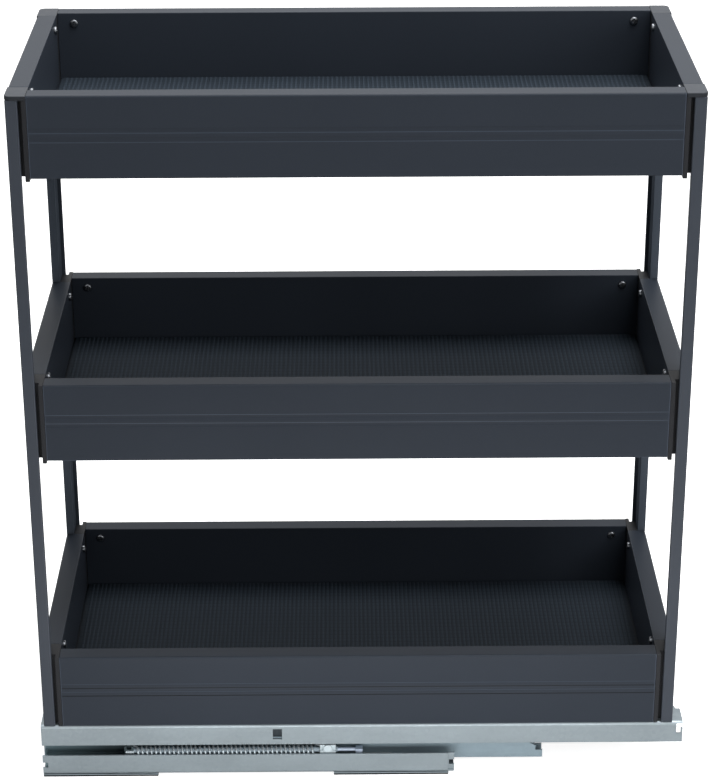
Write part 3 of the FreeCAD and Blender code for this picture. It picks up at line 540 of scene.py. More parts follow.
@dataclass(frozen=True)
class CapMoulding(Moulding):
    """Moulded cap with painted shade: its sides are darker than its flat top."""

    top_level: float = 499.6 * MM
    step: float = 0.3 * MM
    side_share: float = 0.5

    def shaded_sides(self, sketch: SurfaceSketch, shade: Wire) -> Wire:
        """Paint shade on what lies below the flat top.

        Args:
            sketch: The tree.
            shade: Colour of the plastic.

        Returns:
            The colour with darker sides.
        """
        upper = sketch.axis("Z").limited(self.top_level - self.step, self.top_level)
        return sketch.blend(upper, tinted(self.colour, self.side_share), shade)


@dataclass(frozen=True)
class TrackMoulding(Moulding):
    """Moulded track with painted light: paler towards its open end."""

    open_end: float = -225.0 * MM
    rubbed_length: float = 45.0 * MM
    end_lift: float = 4.0

    def shaded_sides(self, sketch: SurfaceSketch, shade: Wire) -> Wire:
        """Paint light on the track towards its open end.

        Args:
            sketch: The tree.
            shade: Colour of the plastic.

        Returns:
            The colour with the pale end.
        """
        inner = sketch.axis("X").limited(self.open_end, self.open_end + self.rubbed_length)
        return sketch.blend(inner, tinted(self.colour, self.end_lift), shade)


@dataclass(frozen=True)
class ZincPlate(Finish):
    """Zinc-plated strip: a dull spangle, drawing lines along X and duller rounded edges.

    The lanced tab in the front rail is painted dark as painted shade, with fine upright lines from the die.
    """

    metallic: float = 0.9
    line: float = 0.5 * MM
    line_stretch: Place = (60.0, 1.0, 1.0)
    line_depth: float = 0.006 * MM
    line_roughness: float = 0.04
    cloud: float = 14 * MM
    cloud_stretch: Place = (3.0, 1.0, 1.0)
    spangle: float = 2.5 * MM
    edge_lift: float = 0.8
    tab_from: Place = (-62.6 * MM, -103.3 * MM, 29.6 * MM)
    tab_to: Place = (-56.1 * MM, -99.0 * MM, 38.4 * MM)
    tab_shade: Colour = (0.035, 0.042, 0.048)
    tab_line_pitch: float = 0.9 * MM
    tab_line_lift: float = 2.2
    tab_fade: float = 0.05 * MM

    def paint(self, sketch: SurfaceSketch) -> None:
        """Draw the plating.

        Args:
            sketch: The tree to draw in.
        """
        lines = sketch.noise(self.line, detail=3.0, stretch=self.line_stretch, rough=0.6)
        cloud = sketch.noise(self.cloud, detail=3.0, stretch=self.cloud_stretch)
        cells = sketch.node("ShaderNodeTexVoronoi", {},
                            {"Vector": sketch.place, "Scale": 1.0 / self.spangle}, out="Color")
        spangle = sketch.node("ShaderNodeSeparateColor", {}, {0: cells}, out=0)
        shade = self.mottled(sketch, cloud, darkest=0.93, lightest=1.07)
        shade = self.toned(sketch, shade, lines.limited(*NOISE_BAND), strength=0.4, factor=1.2)
        shade = self.toned(sketch, shade, spangle, strength=0.14, factor=0.8)
        shade = self.toned(sketch, shade, sketch.worn(), strength=0.7, factor=self.edge_lift)
        shade = self.marked(sketch, shade)
        rough = self.roughened(spangle, 0.0, 1.0, smoother=0.06, rougher=0.06)
        rough = rough + lines.limited(*NOISE_BAND, -self.line_roughness, self.line_roughness)
        sketch.close({"Base Color": shade, "Roughness": rough, "Metallic": self.metallic,
                      "Normal": sketch.bump(lines, self.line_depth)})

    def marked(self, sketch: SurfaceSketch, shade: Wire) -> Wire:
        """Paint shade on the lanced tab.

        Args:
            sketch: The tree.
            shade: Colour of the plating.

        Returns:
            The colour with the tab in it.
        """
        inside = 1.0
        for name, low, high in zip("XYZ", self.tab_from, self.tab_to):
            place = sketch.axis(name)
            within = place.limited(low, low + self.tab_fade) * place.limited(high, high - self.tab_fade)
            inside = within * inside
        line = (sketch.axis("X") * (2 * math.pi / self.tab_line_pitch)).sine().limited(-0.3, 0.9)
        # The tab's dark colour is painted shade.
        dull = sketch.blend(line, self.tab_shade, tinted(self.tab_shade, self.tab_line_lift))
        return sketch.blend(inside, shade, dull)


@dataclass(frozen=True)
class ShearedPlate(ZincPlate):
    """Zinc-plated plate with painted shade: a dark band along the foot of its sheared edge."""

    torn_height: float = 1.3 * MM
    torn_fade: float = 0.1 * MM
    torn_shade: Colour = (0.016, 0.017, 0.018)

    def marked(self, sketch: SurfaceSketch, shade: Wire) -> Wire:
        """Draw the painted shade along the foot.

        Args:
            sketch: The tree.
            shade: Colour of the plating.

        Returns:
            The colour with the dark band in it.
        """
        low, high = self.torn_height - self.torn_fade, self.torn_height + self.torn_fade
        upper = sketch.axis("Z").limited(low, high)
        return sketch.blend(upper, self.torn_shade, shade)


@dataclass(frozen=True)
class RubberMat(Finish):
    """Anti-slip mat: matt rubber with fine lines across its ribs and painted shade on the sheet between the
    ribs.
    """

    cross_pitch: float = 5.4 * MM
    grain: float = 0.5 * MM
    cloud: float = 45 * MM
    depth: float = 0.05 * MM
    gloss: float = 0.1
    gap_share: float = 0.66

    def paint(self, sketch: SurfaceSketch) -> None:
        """Draw the rubber.

        Args:
            sketch: The tree to draw in.
        """
        lines = (sketch.axis("Y") * (2 * math.pi / self.cross_pitch)).sine().limited(0.6, 1.0)
        rib = sketch.mark(RIB_MARK)
        fine = sketch.noise(self.grain)
        broad = sketch.noise(self.cloud)
        shade = self.mottled(sketch, broad, darkest=0.95, lightest=1.05)
        shade = self.toned(sketch, shade, fine.limited(0.4, 0.7), strength=0.3, factor=1.4)
        shade = self.toned(sketch, shade, lines, strength=0.5, factor=0.5)
        # The sheet between the ribs is darker: painted shade.
        shade = sketch.blend(rib, tinted(self.colour, self.gap_share), shade)
        rough = self.roughened(fine, 0.2, 0.8, smoother=0.05, rougher=0.08)
        sketch.close({"Base Color": shade, "Roughness": rough, "Specular IOR Level": self.gloss,
                      "Normal": sketch.bump(fine - lines, self.depth)})


@dataclass(frozen=True)
class BrightMetal(Finish):
    """Plated or polished metal with fine handling marks."""

    metallic: float = 1.0
    grain: float = 0.4 * MM
    cloud: float = 4 * MM
    depth: float = 0.004 * MM

    def paint(self, sketch: SurfaceSketch) -> None:
        """Draw the metal.

        Args:
            sketch: The tree to draw in.
        """
        marks = sketch.noise(self.grain, detail=3.0)
        cloud = sketch.noise(self.cloud)
        shade = self.filmed(sketch, self.mottled(sketch, cloud, darkest=0.85, lightest=1.1))
        rough = self.roughened(marks, 0.25, 0.75, smoother=0.04, rougher=0.08)
        sketch.close({"Base Color": shade, "Roughness": rough, "Metallic": self.metallic,
                      "Normal": sketch.bump(marks, self.depth)})

    def filmed(self, sketch: SurfaceSketch, shade: Wire) -> Wire:
        """The colour as it is: plain metal has no painted shade."""
        return shade


@dataclass(frozen=True)
class SpringWire(BrightMetal):
    """Spring wire whose turns are darkened on their upper half as painted shade."""

    film_from: float = 18.8 * MM
    film_to: float = 19.7 * MM
    upper_share: float = 0.4

    def filmed(self, sketch: SurfaceSketch, shade: Wire) -> Wire:
        """Darken the upper half as painted shade.

        Args:
            sketch: The tree.
            shade: Colour of the metal.

        Returns:
            The colour with the painted shade.
        """
        upper = sketch.axis("Z").limited(self.film_from, self.film_to)
        return sketch.blend(upper, shade, tinted(self.colour, self.upper_share))


@dataclass(frozen=True)
class Palette:
    """The finishes of the rack, by where they are used."""

    coat: PowderCoat = PowderCoat("anthracite_coat", (0.0255, 0.0315, 0.0420), 0.38, gloss=0.1)
    # Front posts: a lighter, glossier copy of the wall coat, as painted light.
    post: PowderCoat = PowderCoat("post_painted_light_coat", (0.0370, 0.0445, 0.0580), 0.36, gloss=0.25)
    # Rear posts: a lighter copy still, as painted light.
    rear_post: PowderCoat = PowderCoat("rear_post_painted_light_coat", (0.0660, 0.0790, 0.0990), 0.4, gloss=0.0)
    floor: PowderCoat = PowderCoat("floor_coat", (0.0120, 0.0145, 0.0195), 0.45)
    mat: RubberMat = RubberMat("ribbed_rubber", (0.0290, 0.0390, 0.0520), 0.6)
    connector: Moulding = Moulding("corner_plastic", (0.0210, 0.0220, 0.0250), 0.42, gloss=0.12)
    # The cap's darker sides and edges are painted shade.
    cap: CapMoulding = CapMoulding("cap_plastic", (0.0470, 0.0530, 0.0630), 0.4, gloss=0.12,
                                   edge_lift=0.5)
    zinc: ZincPlate = ZincPlate("zinc_strip", (0.270, 0.312, 0.335), 0.47)
    # Middle members: a lighter, less metallic copy of the zinc, as painted light in the slot.
    inner_zinc: ZincPlate = ZincPlate("inner_zinc_strip", (0.25, 0.325, 0.37), 0.5, metallic=0.3)
    # Its dark band along the foot is painted shade.
    plate: ShearedPlate = ShearedPlate("base_plate_zinc", (0.250, 0.295, 0.320), 0.5)
    # Its pale open end is painted light.
    black: TrackMoulding = TrackMoulding("black_moulding", (0.042, 0.061, 0.068), 0.38,
                                         flow=(6.0, 1.0, 1.0))
    # Its darker edges are painted shade.
    white: Moulding = Moulding("white_moulding", (0.54, 0.62, 0.655), 0.4, edge_lift=0.6)
    cylinder: Moulding = Moulding("damper_grey", (0.30, 0.37, 0.42), 0.4, flow=(8.0, 1.0, 1.0), gloss=0.4)
    roller: Moulding = Moulding("roller_moulding", (0.55, 0.55, 0.5), 0.45)
    rod: ZincPlate = ZincPlate("rod_steel", (0.46, 0.54, 0.66), 0.45, metallic=0.2)
    # Its darker upper half is painted shade.
    wire: SpringWire = SpringWire("spring_wire", (0.60, 0.68, 0.73), 0.5, metallic=0.15)
    screw: BrightMetal = BrightMetal("nickel_screw", (0.19, 0.20, 0.215), 0.27)


# Meshes


def mesh_from(shape: bmesh.types.BMesh, name: str) -> bpy.types.Mesh:
    """Turn a shape into a mesh.

    Args:
        shape: The shape, which is freed.
        name: The mesh's name.

    Returns:
        The new mesh.
    """
    mesh = bpy.data.meshes.new(name)
    shape.to_mesh(mesh)
    shape.free()
    return mesh


def mesh_piece(name: str, mesh: bpy.types.Mesh, material: bpy.types.Material) -> bpy.types.Object:
    """Put a finished mesh into the scene.

    Args:
        name: The piece's name.
        mesh: Its mesh, already in place.
        material: Its finish.

    Returns:
        The new object.
    """
    mesh.materials.clear()
    mesh.materials.append(material)
    piece = bpy.data.objects.new(name, mesh)
    bpy.context.scene.collection.objects.link(piece)
    return piece


def merged_copy(node: str) -> bmesh.types.BMesh:
    """Copy a node's loose triangles as one closed mesh of flat faces.

    Args:
        node: The node to copy.

    Returns:
        The merged mesh.
    """
    shape = bmesh.new()
    shape.from_mesh(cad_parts[node].data)
    bmesh.ops.remove_doubles(shape, verts=shape.verts, dist=MERGE_REACH)
    bmesh.ops.dissolve_limit(shape, angle_limit=math.radians(FLAT_TURN), verts=shape.verts,
                             edges=shape.edges, delimit={"NORMAL"})
    return shape


def soften(shape: bmesh.types.BMesh, width: float) -> None:
    """Round the outer edges of a mesh and mark them for wear.

    Args:
        shape: The mesh to change.
        width: How far the rounding reaches.
    """
    limit = math.radians(SOFT_TURN)
    mark = shape.faces.layers.float.new(EDGE_MARK)
    edges = [edge for edge in shape.edges
             if edge.is_manifold and edge.is_convex and edge.calc_face_angle(0.0) > limit]
    made = bmesh.ops.bevel(shape, geom=edges, offset=width, offset_type="OFFSET", segments=SOFT_STEPS,
                           profile=0.5, affect="EDGES", clamp_overlap=False)
    for face in made["faces"]:
        face[mark] = 1.0


def softened_piece(name: str, node: str, width: float, material: bpy.types.Material, body: str,
                   detail: Callable[[bmesh.types.BMesh], None] | None = None) -> None:
    """Replace a node by a copy of it with soft, marked edges.

    Args:
        name: The new piece's name.
        node: The node that it stands for.
        width: Width of the rounding.
        material: Its finish.
        body: The body that it rides on.
        detail: What else to shape before the edges are rounded.
    """
    shape = merged_copy(node)
    shape.faces.layers.float.new(PAINTED_LIGHT_MARK)
    if detail:
        detail(shape)
    soften(shape, width)
    piece = mesh_piece(name, mesh_from(shape, name), material)
    shade_smooth(piece)
    # Full weight keeps the large faces flat beside their rounded edges.
    flatten = piece.modifiers.new("flat_faces", "WEIGHTED_NORMAL")
    flatten.keep_sharp = True
    flatten.weight = 100
    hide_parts(node)
    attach(piece, body)
    log.info("%s: %d faces", name, len(piece.data.polygons))


def shade_smooth(piece: bpy.types.Object, limit: float = 50.0) -> None:
    """Shade smooth but keep edges over a limit sharp.

    Args:
        piece: The piece to shade.
        limit: Sharpness limit in degrees.
    """
    shape = bmesh.new()
    shape.from_mesh(piece.data)
    for face in shape.faces:
        face.smooth = True
    for edge in shape.edges:
        edge.smooth = edge.calc_face_angle(math.pi) < math.radians(limit)
    shape.to_mesh(piece.data)
    shape.free()


def paint_node(name: str, material: bpy.types.Material) -> None:
    """Give a CAD node its finish.

    Args:
        name: The node's name.
        material: The finish.
    """
    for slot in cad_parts[name].material_slots:
        slot.link = "OBJECT"
        slot.material = material
    log.info("%s: finished with %s", name, material.name)


def box_of(node: str) -> tuple[Vector, Vector]:
    """Lowest and highest corner of a node."""
    low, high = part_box(node)
    return Vector(low), Vector(high)


def cut_across(shape: bmesh.types.BMesh, place: Vector, way: Vector) -> list[bmesh.types.BMVert]:
    """Cut the faces of a mesh along a plane and leave it whole.

    Args:
        shape: The mesh to cut.
        place: A point of the plane.
        way: The plane's normal.

    Returns:
        The corners that lie on the cut.
    """
    cut = bmesh.ops.bisect_plane(shape, geom=shape.verts[:] + shape.edges[:] + shape.faces[:],
                                 dist=CUT_REACH, plane_co=place, plane_no=way)
    return [item for item in cut["geom_cut"] if isinstance(item, bmesh.types.BMVert)]


def add_rings(shape: bmesh.types.BMesh, rings: Sequence[tuple[float, float]], sides: int,
              stand: Matrix) -> list[list[bmesh.types.BMVert]]:
    """Add the open side of a turned piece.

    Args:
        shape: The mesh to add to.
        rings: Radius and level of each ring, in order.
        sides: Corners of a ring.
        stand: Where the piece stands. Its axis is the Z of this matrix.

    Returns:
        The corners of each ring.
    """
    angles = [2 * math.pi * k / sides for k in range(sides)]
    loops = [[shape.verts.new(stand @ Vector((radius * math.cos(angle), radius * math.sin(angle), level)))
              for angle in angles] for radius, level in rings]
    for lower, upper in zip(loops, loops[1:]):
        for k in range(sides):
            after = (k + 1) % sides
            shape.faces.new((lower[k], lower[after], upper[after], upper[k]))
    return loops


class GrowthTree(Sketch):
    """A Geometry Nodes tree with named inputs, turned into a plain mesh once it has run."""

    KINDS = {float: "NodeSocketFloat", int: "NodeSocketInt", Vector: "NodeSocketVector"}

    def __init__(self, name: str, inputs: dict[str, object]) -> None:
        """Make the tree with its inputs.

        Args:
            name: The tree's name.
            inputs: Name and value of each input; a value's type gives the socket's kind. An object
                gives an object input and a material a material input.
        """
        super().__init__(bpy.data.node_groups.new(name, "GeometryNodeTree"))
        self.values = inputs
        face = self.tree.interface
        face.new_socket(name="Geometry", in_out="INPUT", socket_type="NodeSocketGeometry")
        face.new_socket(name="Geometry", in_out="OUTPUT", socket_type="NodeSocketGeometry")
        for key, value in inputs.items():
            face.new_socket(name=key, in_out="INPUT", socket_type=self.kind_of(value))
        self.entry = self.tree.nodes.new("NodeGroupInput")

    def kind_of(self, value: object) -> str:
        """Find the socket that holds a value.

        Args:
            value: Value of an input.

        Returns:
            Type of the socket.
        """
        if isinstance(value, bpy.types.Object):
            return "NodeSocketObject"
        if isinstance(value, bpy.types.Material):
            return "NodeSocketMaterial"
        return self.KINDS[type(value)]

    def given(self, name: str) -> Wire:
        """One of the tree's inputs."""
        return Wire(self, self.entry.outputs[name])

    def finish(self, geometry: Wire) -> None:
        """End the tree: realise what it made and give it the material.

        Args:
            geometry: The geometry to end with.
        """
        plain = self.node("GeometryNodeRealizeInstances", {}, {0: geometry})
        painted = self.node("GeometryNodeSetMaterial", {},
                            {"Geometry": plain, "Material": self.given("Material")})
        self.node("NodeGroupOutput", {}, {0: painted})

    def grow(self, name: str, seed_mesh: bpy.types.Mesh) -> bpy.types.Object:
        """Run the tree on a mesh and keep the result as a plain piece.

        Args:
            name: The piece's name.
            seed_mesh: The mesh that enters the tree.

        Returns:
            The new object, with no modifier.
        """
        carrier = bpy.data.objects.new(name + "_seed", seed_mesh)
        bpy.context.scene.collection.objects.link(carrier)
        modifier = carrier.modifiers.new("growth", "NODES")
        modifier.node_group = self.tree
        for item in self.tree.interface.items_tree:
            if item.in_out == "INPUT" and item.name in self.values:
                modifier[item.identifier] = self.values[item.name]
        bpy.context.view_layer.update()
        graph = bpy.context.evaluated_depsgraph_get()
        mesh = bpy.data.meshes.new_from_object(carrier.evaluated_get(graph))
        carrier.modifiers.clear()
        bpy.data.objects.remove(carrier)
        piece = mesh_piece(name, mesh, self.values["Material"])
        log.info("%s: %d faces grown", name, len(mesh.polygons))
        return piece


# Sub-assemblies


# Painted light and shade on the slopes of a wall's bands, by tier: how much those that look down, then those
# that look up, are lightened; a value below zero darkens them.
PAINTED_BAND_LIGHT = {Tier.BOTTOM: (1.0, -0.75), Tier.MIDDLE: (1.4, 0.1), Tier.TOP: (-0.1, 0.8)}
# Profile of the catch's pin: distance from its left end, and the share of its radius there.
PIN_PROFILE = ((0.0, 0.55), (0.2 * MM, 0.9), (0.4 * MM, 1.0), (4.6 * MM, 1.0), (4.7 * MM, 0.75),
               (5.0 * MM, 0.75), (5.1 * MM, 1.0), (5.7 * MM, 1.0), (6.0 * MM, 0.6))


@dataclass
class Basket:
    """One tray: four extruded walls, a floor with its ribbed mat and four moulded corners."""

    tier: Tier
    finishes: Finishes
    edge: float = 0.2 * MM
    rib_pitch: float = 3.15 * MM
    rib_width: float = 1.7 * MM
    rib_height: float = 0.6 * MM
    rib_inset: float = 1.2 * MM
    rib_sides: int = 8
    line_drops: tuple[float, float] = (24.3 * MM, 30.4 * MM)
    line_half: float = 0.5 * MM
    line_sink: float = 0.35 * MM
    line_band: float = 2.9 * MM
    sink_slack: float = 0.05 * MM
    # Least parts of a face's normal: outwards and upright on a slope, and outwards on the flat.
    slope_outward: float = 0.3
    slope_lean: float = 0.2
    flat_outward: float = 0.7
    # Width and strength of the painted highlight along the ends of a wall.
    end_rim: float = 0.55 * MM
    end_lift: float = 1.0

    def build(self) -> None:
        """Dress the walls and corners and lay the mat."""
        word = self.tier.value
        for wall in Wall:
            node = f"{word}_{wall.word}_wall"
            softened_piece(f"{node}_coated", node, self.edge, self.finishes["coat"], "carriage",
                           lambda shape, way=wall.outward: self.open_lines(shape, way))
        for corner in Corner:
            node = f"{word}_{corner.value}_connector"
            softened_piece(f"{node}_moulded", node, self.edge, self.finishes["connector"], "carriage")
        paint_node(f"{word}_floor_panel", self.finishes["floor"])
        self.lay_mat()

    def open_lines(self, shape: bmesh.types.BMesh, outward: Vector) -> None:
        """Open the two narrow lines of a wall into shallow bands, each with an upper and a lower edge.

        Args:
            shape: The wall's mesh.
            outward: The way its outer face looks.
        """
        lip = max(vertex.co.z for vertex in shape.verts)
        face_level = max(vertex.co.dot(outward) for vertex in shape.verts)
        reach = self.line_sink + self.sink_slack
        for drop in self.line_drops:
            low = lip - drop
            for vertex in shape.verts:
                outer = face_level - vertex.co.dot(outward) < reach
                if outer and abs(vertex.co.z - low - self.line_half) < LEVEL_REACH:
                    vertex.co.z = low + self.line_band + self.line_half / 2
            level = low + self.line_band - self.line_half / 2
            for vertex in cut_across(shape, Vector((0.0, 0.0, level)), Vector((0.0, 0.0, 1.0))):
                depth = face_level - vertex.co.dot(outward)
                if depth < reach:
                    vertex.co += outward * (depth - self.line_sink)
        shape.normal_update()
        self.mark_lines(shape, outward, lip - self.line_drops[0] + self.line_band + self.line_half)
        self.mark_ends(shape, outward)

    def mark_lines(self, shape: bmesh.types.BMesh, outward: Vector, highest: float) -> None:
        """Mark painted light and shade: how much lighter or darker the slopes of the bands are.

        Args:
            shape: The wall's mesh.
            outward: The way its outer face looks.
            highest: Level that the bands lie below.
        """
        mark = shape.faces.layers.float[PAINTED_LIGHT_MARK]
        upper, lower = PAINTED_BAND_LIGHT[self.tier]
        for face in shape.faces:
            lean = face.normal.z
            slope = face.normal.dot(outward) > self.slope_outward and abs(lean) > self.slope_lean
            if slope and face.calc_center_median().z < highest:
                face[mark] = lower if lean > 0.0 else upper

    def mark_ends(self, shape: bmesh.types.BMesh, outward: Vector) -> None:
        """Mark a painted highlight: a paler rim along both sawn ends of a wall's outer face.

        Args:
            shape: The wall's mesh.
            outward: The way its outer face looks.
        """
        along = Vector((abs(outward.y), abs(outward.x), 0.0))
        mark = shape.faces.layers.float[PAINTED_LIGHT_MARK]
        places = [vertex.co.dot(along) for vertex in shape.verts]
        for end, inwards in ((min(places), 1.0), (max(places), -1.0)):
            level = end + inwards * self.end_rim
            cut_across(shape, along * level, along)
            for face in shape.faces:
                within = (face.calc_center_median().dot(along) - level) * inwards < 0.0
                if within and face.normal.dot(outward) > self.flat_outward:
                    face[mark] = self.end_lift

    def lay_mat(self) -> None:
        """Grow the ribs of the mat on its sheet."""
        node = f"{self.tier.value}_floor_mat"
        seed = mesh_from(merged_copy(node), node + "_sheet")
        mat = self.rib_tree(*box_of(node)).grow(f"{node}_ribbed", seed)
        shade_smooth(mat, limit=40.0)
        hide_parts(node)
        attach(mat, "carriage")

    def rib_tree(self, low: Vector, high: Vector) -> GrowthTree:
        """Draw the tree that sets a row of ribs on the mat's sheet.

        Args:
            low: Lowest corner of the sheet.
            high: Highest corner of the sheet.

        Returns:
            The finished tree.
        """
        count = int((high.x - low.x - 2 * self.rib_inset) / self.rib_pitch)
        middle = (low + high) / 2
        tree = GrowthTree("mat_ribs", {
            "Count": count,
            "First": Vector((middle.x - (count - 1) / 2 * self.rib_pitch, middle.y, high.z)),
            "Pitch": self.rib_pitch,
            "Length": high.y - low.y - 2 * self.rib_inset,
            "Width": self.rib_width,
            "Height": self.rib_height,
            "Material": self.finishes["mat"],
        })
        step = tree.node("ShaderNodeCombineXYZ", {}, {"X": tree.given("Pitch")})
        row = tree.node("GeometryNodeMeshLine", {"mode": "OFFSET"}, {
            "Count": tree.given("Count"), "Start Location": tree.given("First"), "Offset": step})
        half = tree.given("Length") * 0.5
        start = tree.node("ShaderNodeCombineXYZ", {}, {"Y": half * -1.0})
        end = tree.node("ShaderNodeCombineXYZ", {}, {"Y": half})
        line = tree.node("GeometryNodeCurvePrimitiveLine", {}, {"Start": start, "End": end})
        ring = tree.node("GeometryNodeCurvePrimitiveCircle", {"mode": "RADIUS"},
                         {"Resolution": self.rib_sides, "Radius": tree.given("Width") * 0.5})
        bar = tree.node("GeometryNodeCurveToMesh", {}, {"Curve": line, "Profile Curve": ring,
                                                        "Fill Caps": True})
        squeeze = tree.node("ShaderNodeCombineXYZ", {}, {
            "X": 1.0, "Y": 1.0, "Z": tree.given("Height") * 2.0 / tree.given("Width")})
        rib = tree.node("GeometryNodeTransform", {}, {"Geometry": bar, "Scale": squeeze})
        marked = tree.node("GeometryNodeStoreNamedAttribute", {"data_type": "FLOAT", "domain": "FACE"},
                           {"Geometry": rib, "Name": RIB_MARK, "Value": 1.0})
        ribs = tree.node("GeometryNodeInstanceOnPoints", {}, {"Points": row, "Instance": marked})
        tree.finish(tree.node("GeometryNodeJoinGeometry", {}, {0: [tree.given("Geometry"), ribs]}))
        return tree


@dataclass
class Posts:
    """The four posts with their caps."""

    finishes: Finishes
    post_edge: float = 0.2 * MM
    cap_edge: float = 0.5 * MM

    def build(self) -> None:
        """Dress the posts and caps."""
        for corner in Corner:
            word = corner.value
            # Front and rear posts take lighter copies of the coat, as painted light.
            coat = self.finishes["post" if corner.in_front else "rear_post"]
            softened_piece(f"{word}_post_coated", f"{word}_post", self.post_edge, coat, "carriage")
            softened_piece(f"{word}_cap_moulded", f"{word}_cap", self.cap_edge, self.finishes["cap"],
                           "carriage")


@dataclass
class Slides:
    """Both floor slides: channels, rails, middle members, roller cages and base plates."""

    finishes: Finishes
    edge: float = 0.15 * MM

    def build(self) -> None:
        """Dress the sheet parts and the cages."""
        for side in Side:
            # The middle members' lighter zinc is painted light.
            for kind, body, finish in (("fixed_channel", "base", "zinc"), ("top_rail", "carriage", "zinc"),
                                       ("middle_member", "middle_stage", "inner_zinc")):
                node = f"{side.value}_{kind}"
                softened_piece(f"{node}_plated", node, self.edge, self.finishes[finish], body)
            for level in ("lower", "upper"):
                paint_node(f"{side.value}_{level}_rollers", self.finishes["roller"])
        for node in ("door_end_base_plate", "inner_base_plate"):
            softened_piece(f"{node}_coated", node, self.edge, self.finishes["plate"], "base")


@dataclass
class SoftClose:
    """The spring unit of the front slide."""

    finishes: Finishes
    turns: int = 40
    steps_per_turn: int = 24
    wire_radius: float = 0.62 * MM
    wire_sides: int = 10
    # Legs and bends at the ends of the spring, in radii of its wire.
    leg_share: float = 2.0
    bend_share: float = 2.5
    edge: float = 0.2 * MM
    anchor_edge: float = 0.25 * MM
    pin_radius: float = 1.0 * MM
    pin_sides: int = 16
    pin_rise: float = 0.3 * MM
    pin_shift: float = 0.6 * MM

    def build(self) -> None:
        """Dress the mouldings and wind the spring."""
        for node, body in (("soft_close_carrier", "base"), ("catch", "soft_close_slider"),
                           ("catch_trigger", "carriage")):
            softened_piece(f"{node}_moulded", node, self.edge, self.finishes["black"], body)
        softened_piece("spring_anchor_moulded", "spring_anchor", self.anchor_edge, self.finishes["white"],
                       "base")
        paint_node("damper_cylinder", self.finishes["cylinder"])
        paint_node("damper_rod", self.finishes["rod"])
        self.turn_catch_pin()
        self.wind_spring()

    @staticmethod
    def axis_point() -> Vector:
        """Middle of the damper cylinder, on its axis."""
        low, high = box_of("damper_cylinder")
        return (low + high) / 2

    def turn_catch_pin(self) -> None:
        """Turn the small steel pin that lies in the front of the catch, with a groove near its end."""
        low, high = box_of("catch")
        left = (low.x + high.x) / 2 + self.pin_shift - PIN_PROFILE[-1][0] / 2
        place = Matrix.Translation((left, low.y, self.axis_point().z + self.pin_rise))
        lie_along_x = Matrix(((0.0, 0.0, 1.0), (1.0, 0.0, 0.0), (0.0, 1.0, 0.0))).to_4x4()
        shape = bmesh.new()
        rings = [(self.pin_radius * share, distance) for distance, share in PIN_PROFILE]
        loops = add_rings(shape, rings, self.pin_sides, place @ lie_along_x)
        shape.faces.new(loops[0])
        shape.faces.new(loops[-1][::-1])
        bmesh.ops.recalc_face_normals(shape, faces=shape.faces)
        pin = mesh_piece("catch_pin_turned", mesh_from(shape, "catch_pin"), self.finishes["wire"])
        shade_smooth(pin, limit=40.0)
        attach(pin, "soft_close_slider")
        log.info("%s: %d faces", pin.name, len(pin.data.polygons))

    def centre_line(self) -> list[Vector]:
        """Find the middle line of the wire: a helix whose ends turn into short straight legs.

        Returns:
            Points from the catch to the anchor.
        """
        low, high = box_of("soft_close_spring")
        axis = self.axis_point()
        radius = (high.y - low.y) / 2 - self.wire_radius
        leg, bend = self.leg_share * self.wire_radius, self.bend_share * self.wire_radius
        lead = math.atan2(bend, radius)
        first, last = math.pi / 2 + lead, math.pi / 2 - lead + 2 * math.pi * self.turns
        start, end = low.x + leg + bend, high.x - leg - bend
        top = axis.z + math.hypot(radius, bend)
        points = [Vector((low.x, axis.y, top)), Vector((low.x + leg, axis.y, top))]
        count = self.turns * self.steps_per_turn
        for step in range(count + 1):
            angle = first + (last - first) * step / count
            points.append(Vector((start + (end - start) * step / count, axis.y + radius * math.cos(angle),
                                  axis.z + radius * math.sin(angle))))
        points += [Vector((high.x - leg, axis.y, top)), Vector((high.x, axis.y, top))]
        return points

    def wind_spring(self) -> None:
        """Sweep the wire along its middle line and let it stretch between its two ends."""
        points = self.centre_line()
        seed = bpy.data.meshes.new("spring_line")
        seed.from_pydata(points, [(i, i + 1) for i in range(len(points) - 1)], [])
        tree = GrowthTree("spring_winding", {"Radius": self.wire_radius, "Sides": self.wire_sides,
                                             "Material": self.finishes["wire"]})
        path = tree.node("GeometryNodeMeshToCurve", {}, {0: tree.given("Geometry")})
        ring = tree.node("GeometryNodeCurvePrimitiveCircle", {"mode": "RADIUS"},
                         {"Resolution": tree.given("Sides"), "Radius": tree.given("Radius")})
        tree.finish(tree.node("GeometryNodeCurveToMesh", {}, {"Curve": path, "Profile Curve": ring,
                                                              "Fill Caps": True}))
        spring = tree.grow("soft_close_spring_wound", seed)
        shade_smooth(spring)
        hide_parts("soft_close_spring")
        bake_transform(spring, "base", "soft_close_slider", start=tuple(points[-1]), end=tuple(points[0]))


@dataclass(frozen=True)
class Seat:
    """Where a screw's head sits, which way it looks and how far the shank reaches below it."""

    place: Vector
    facing: Vector
    reach: float


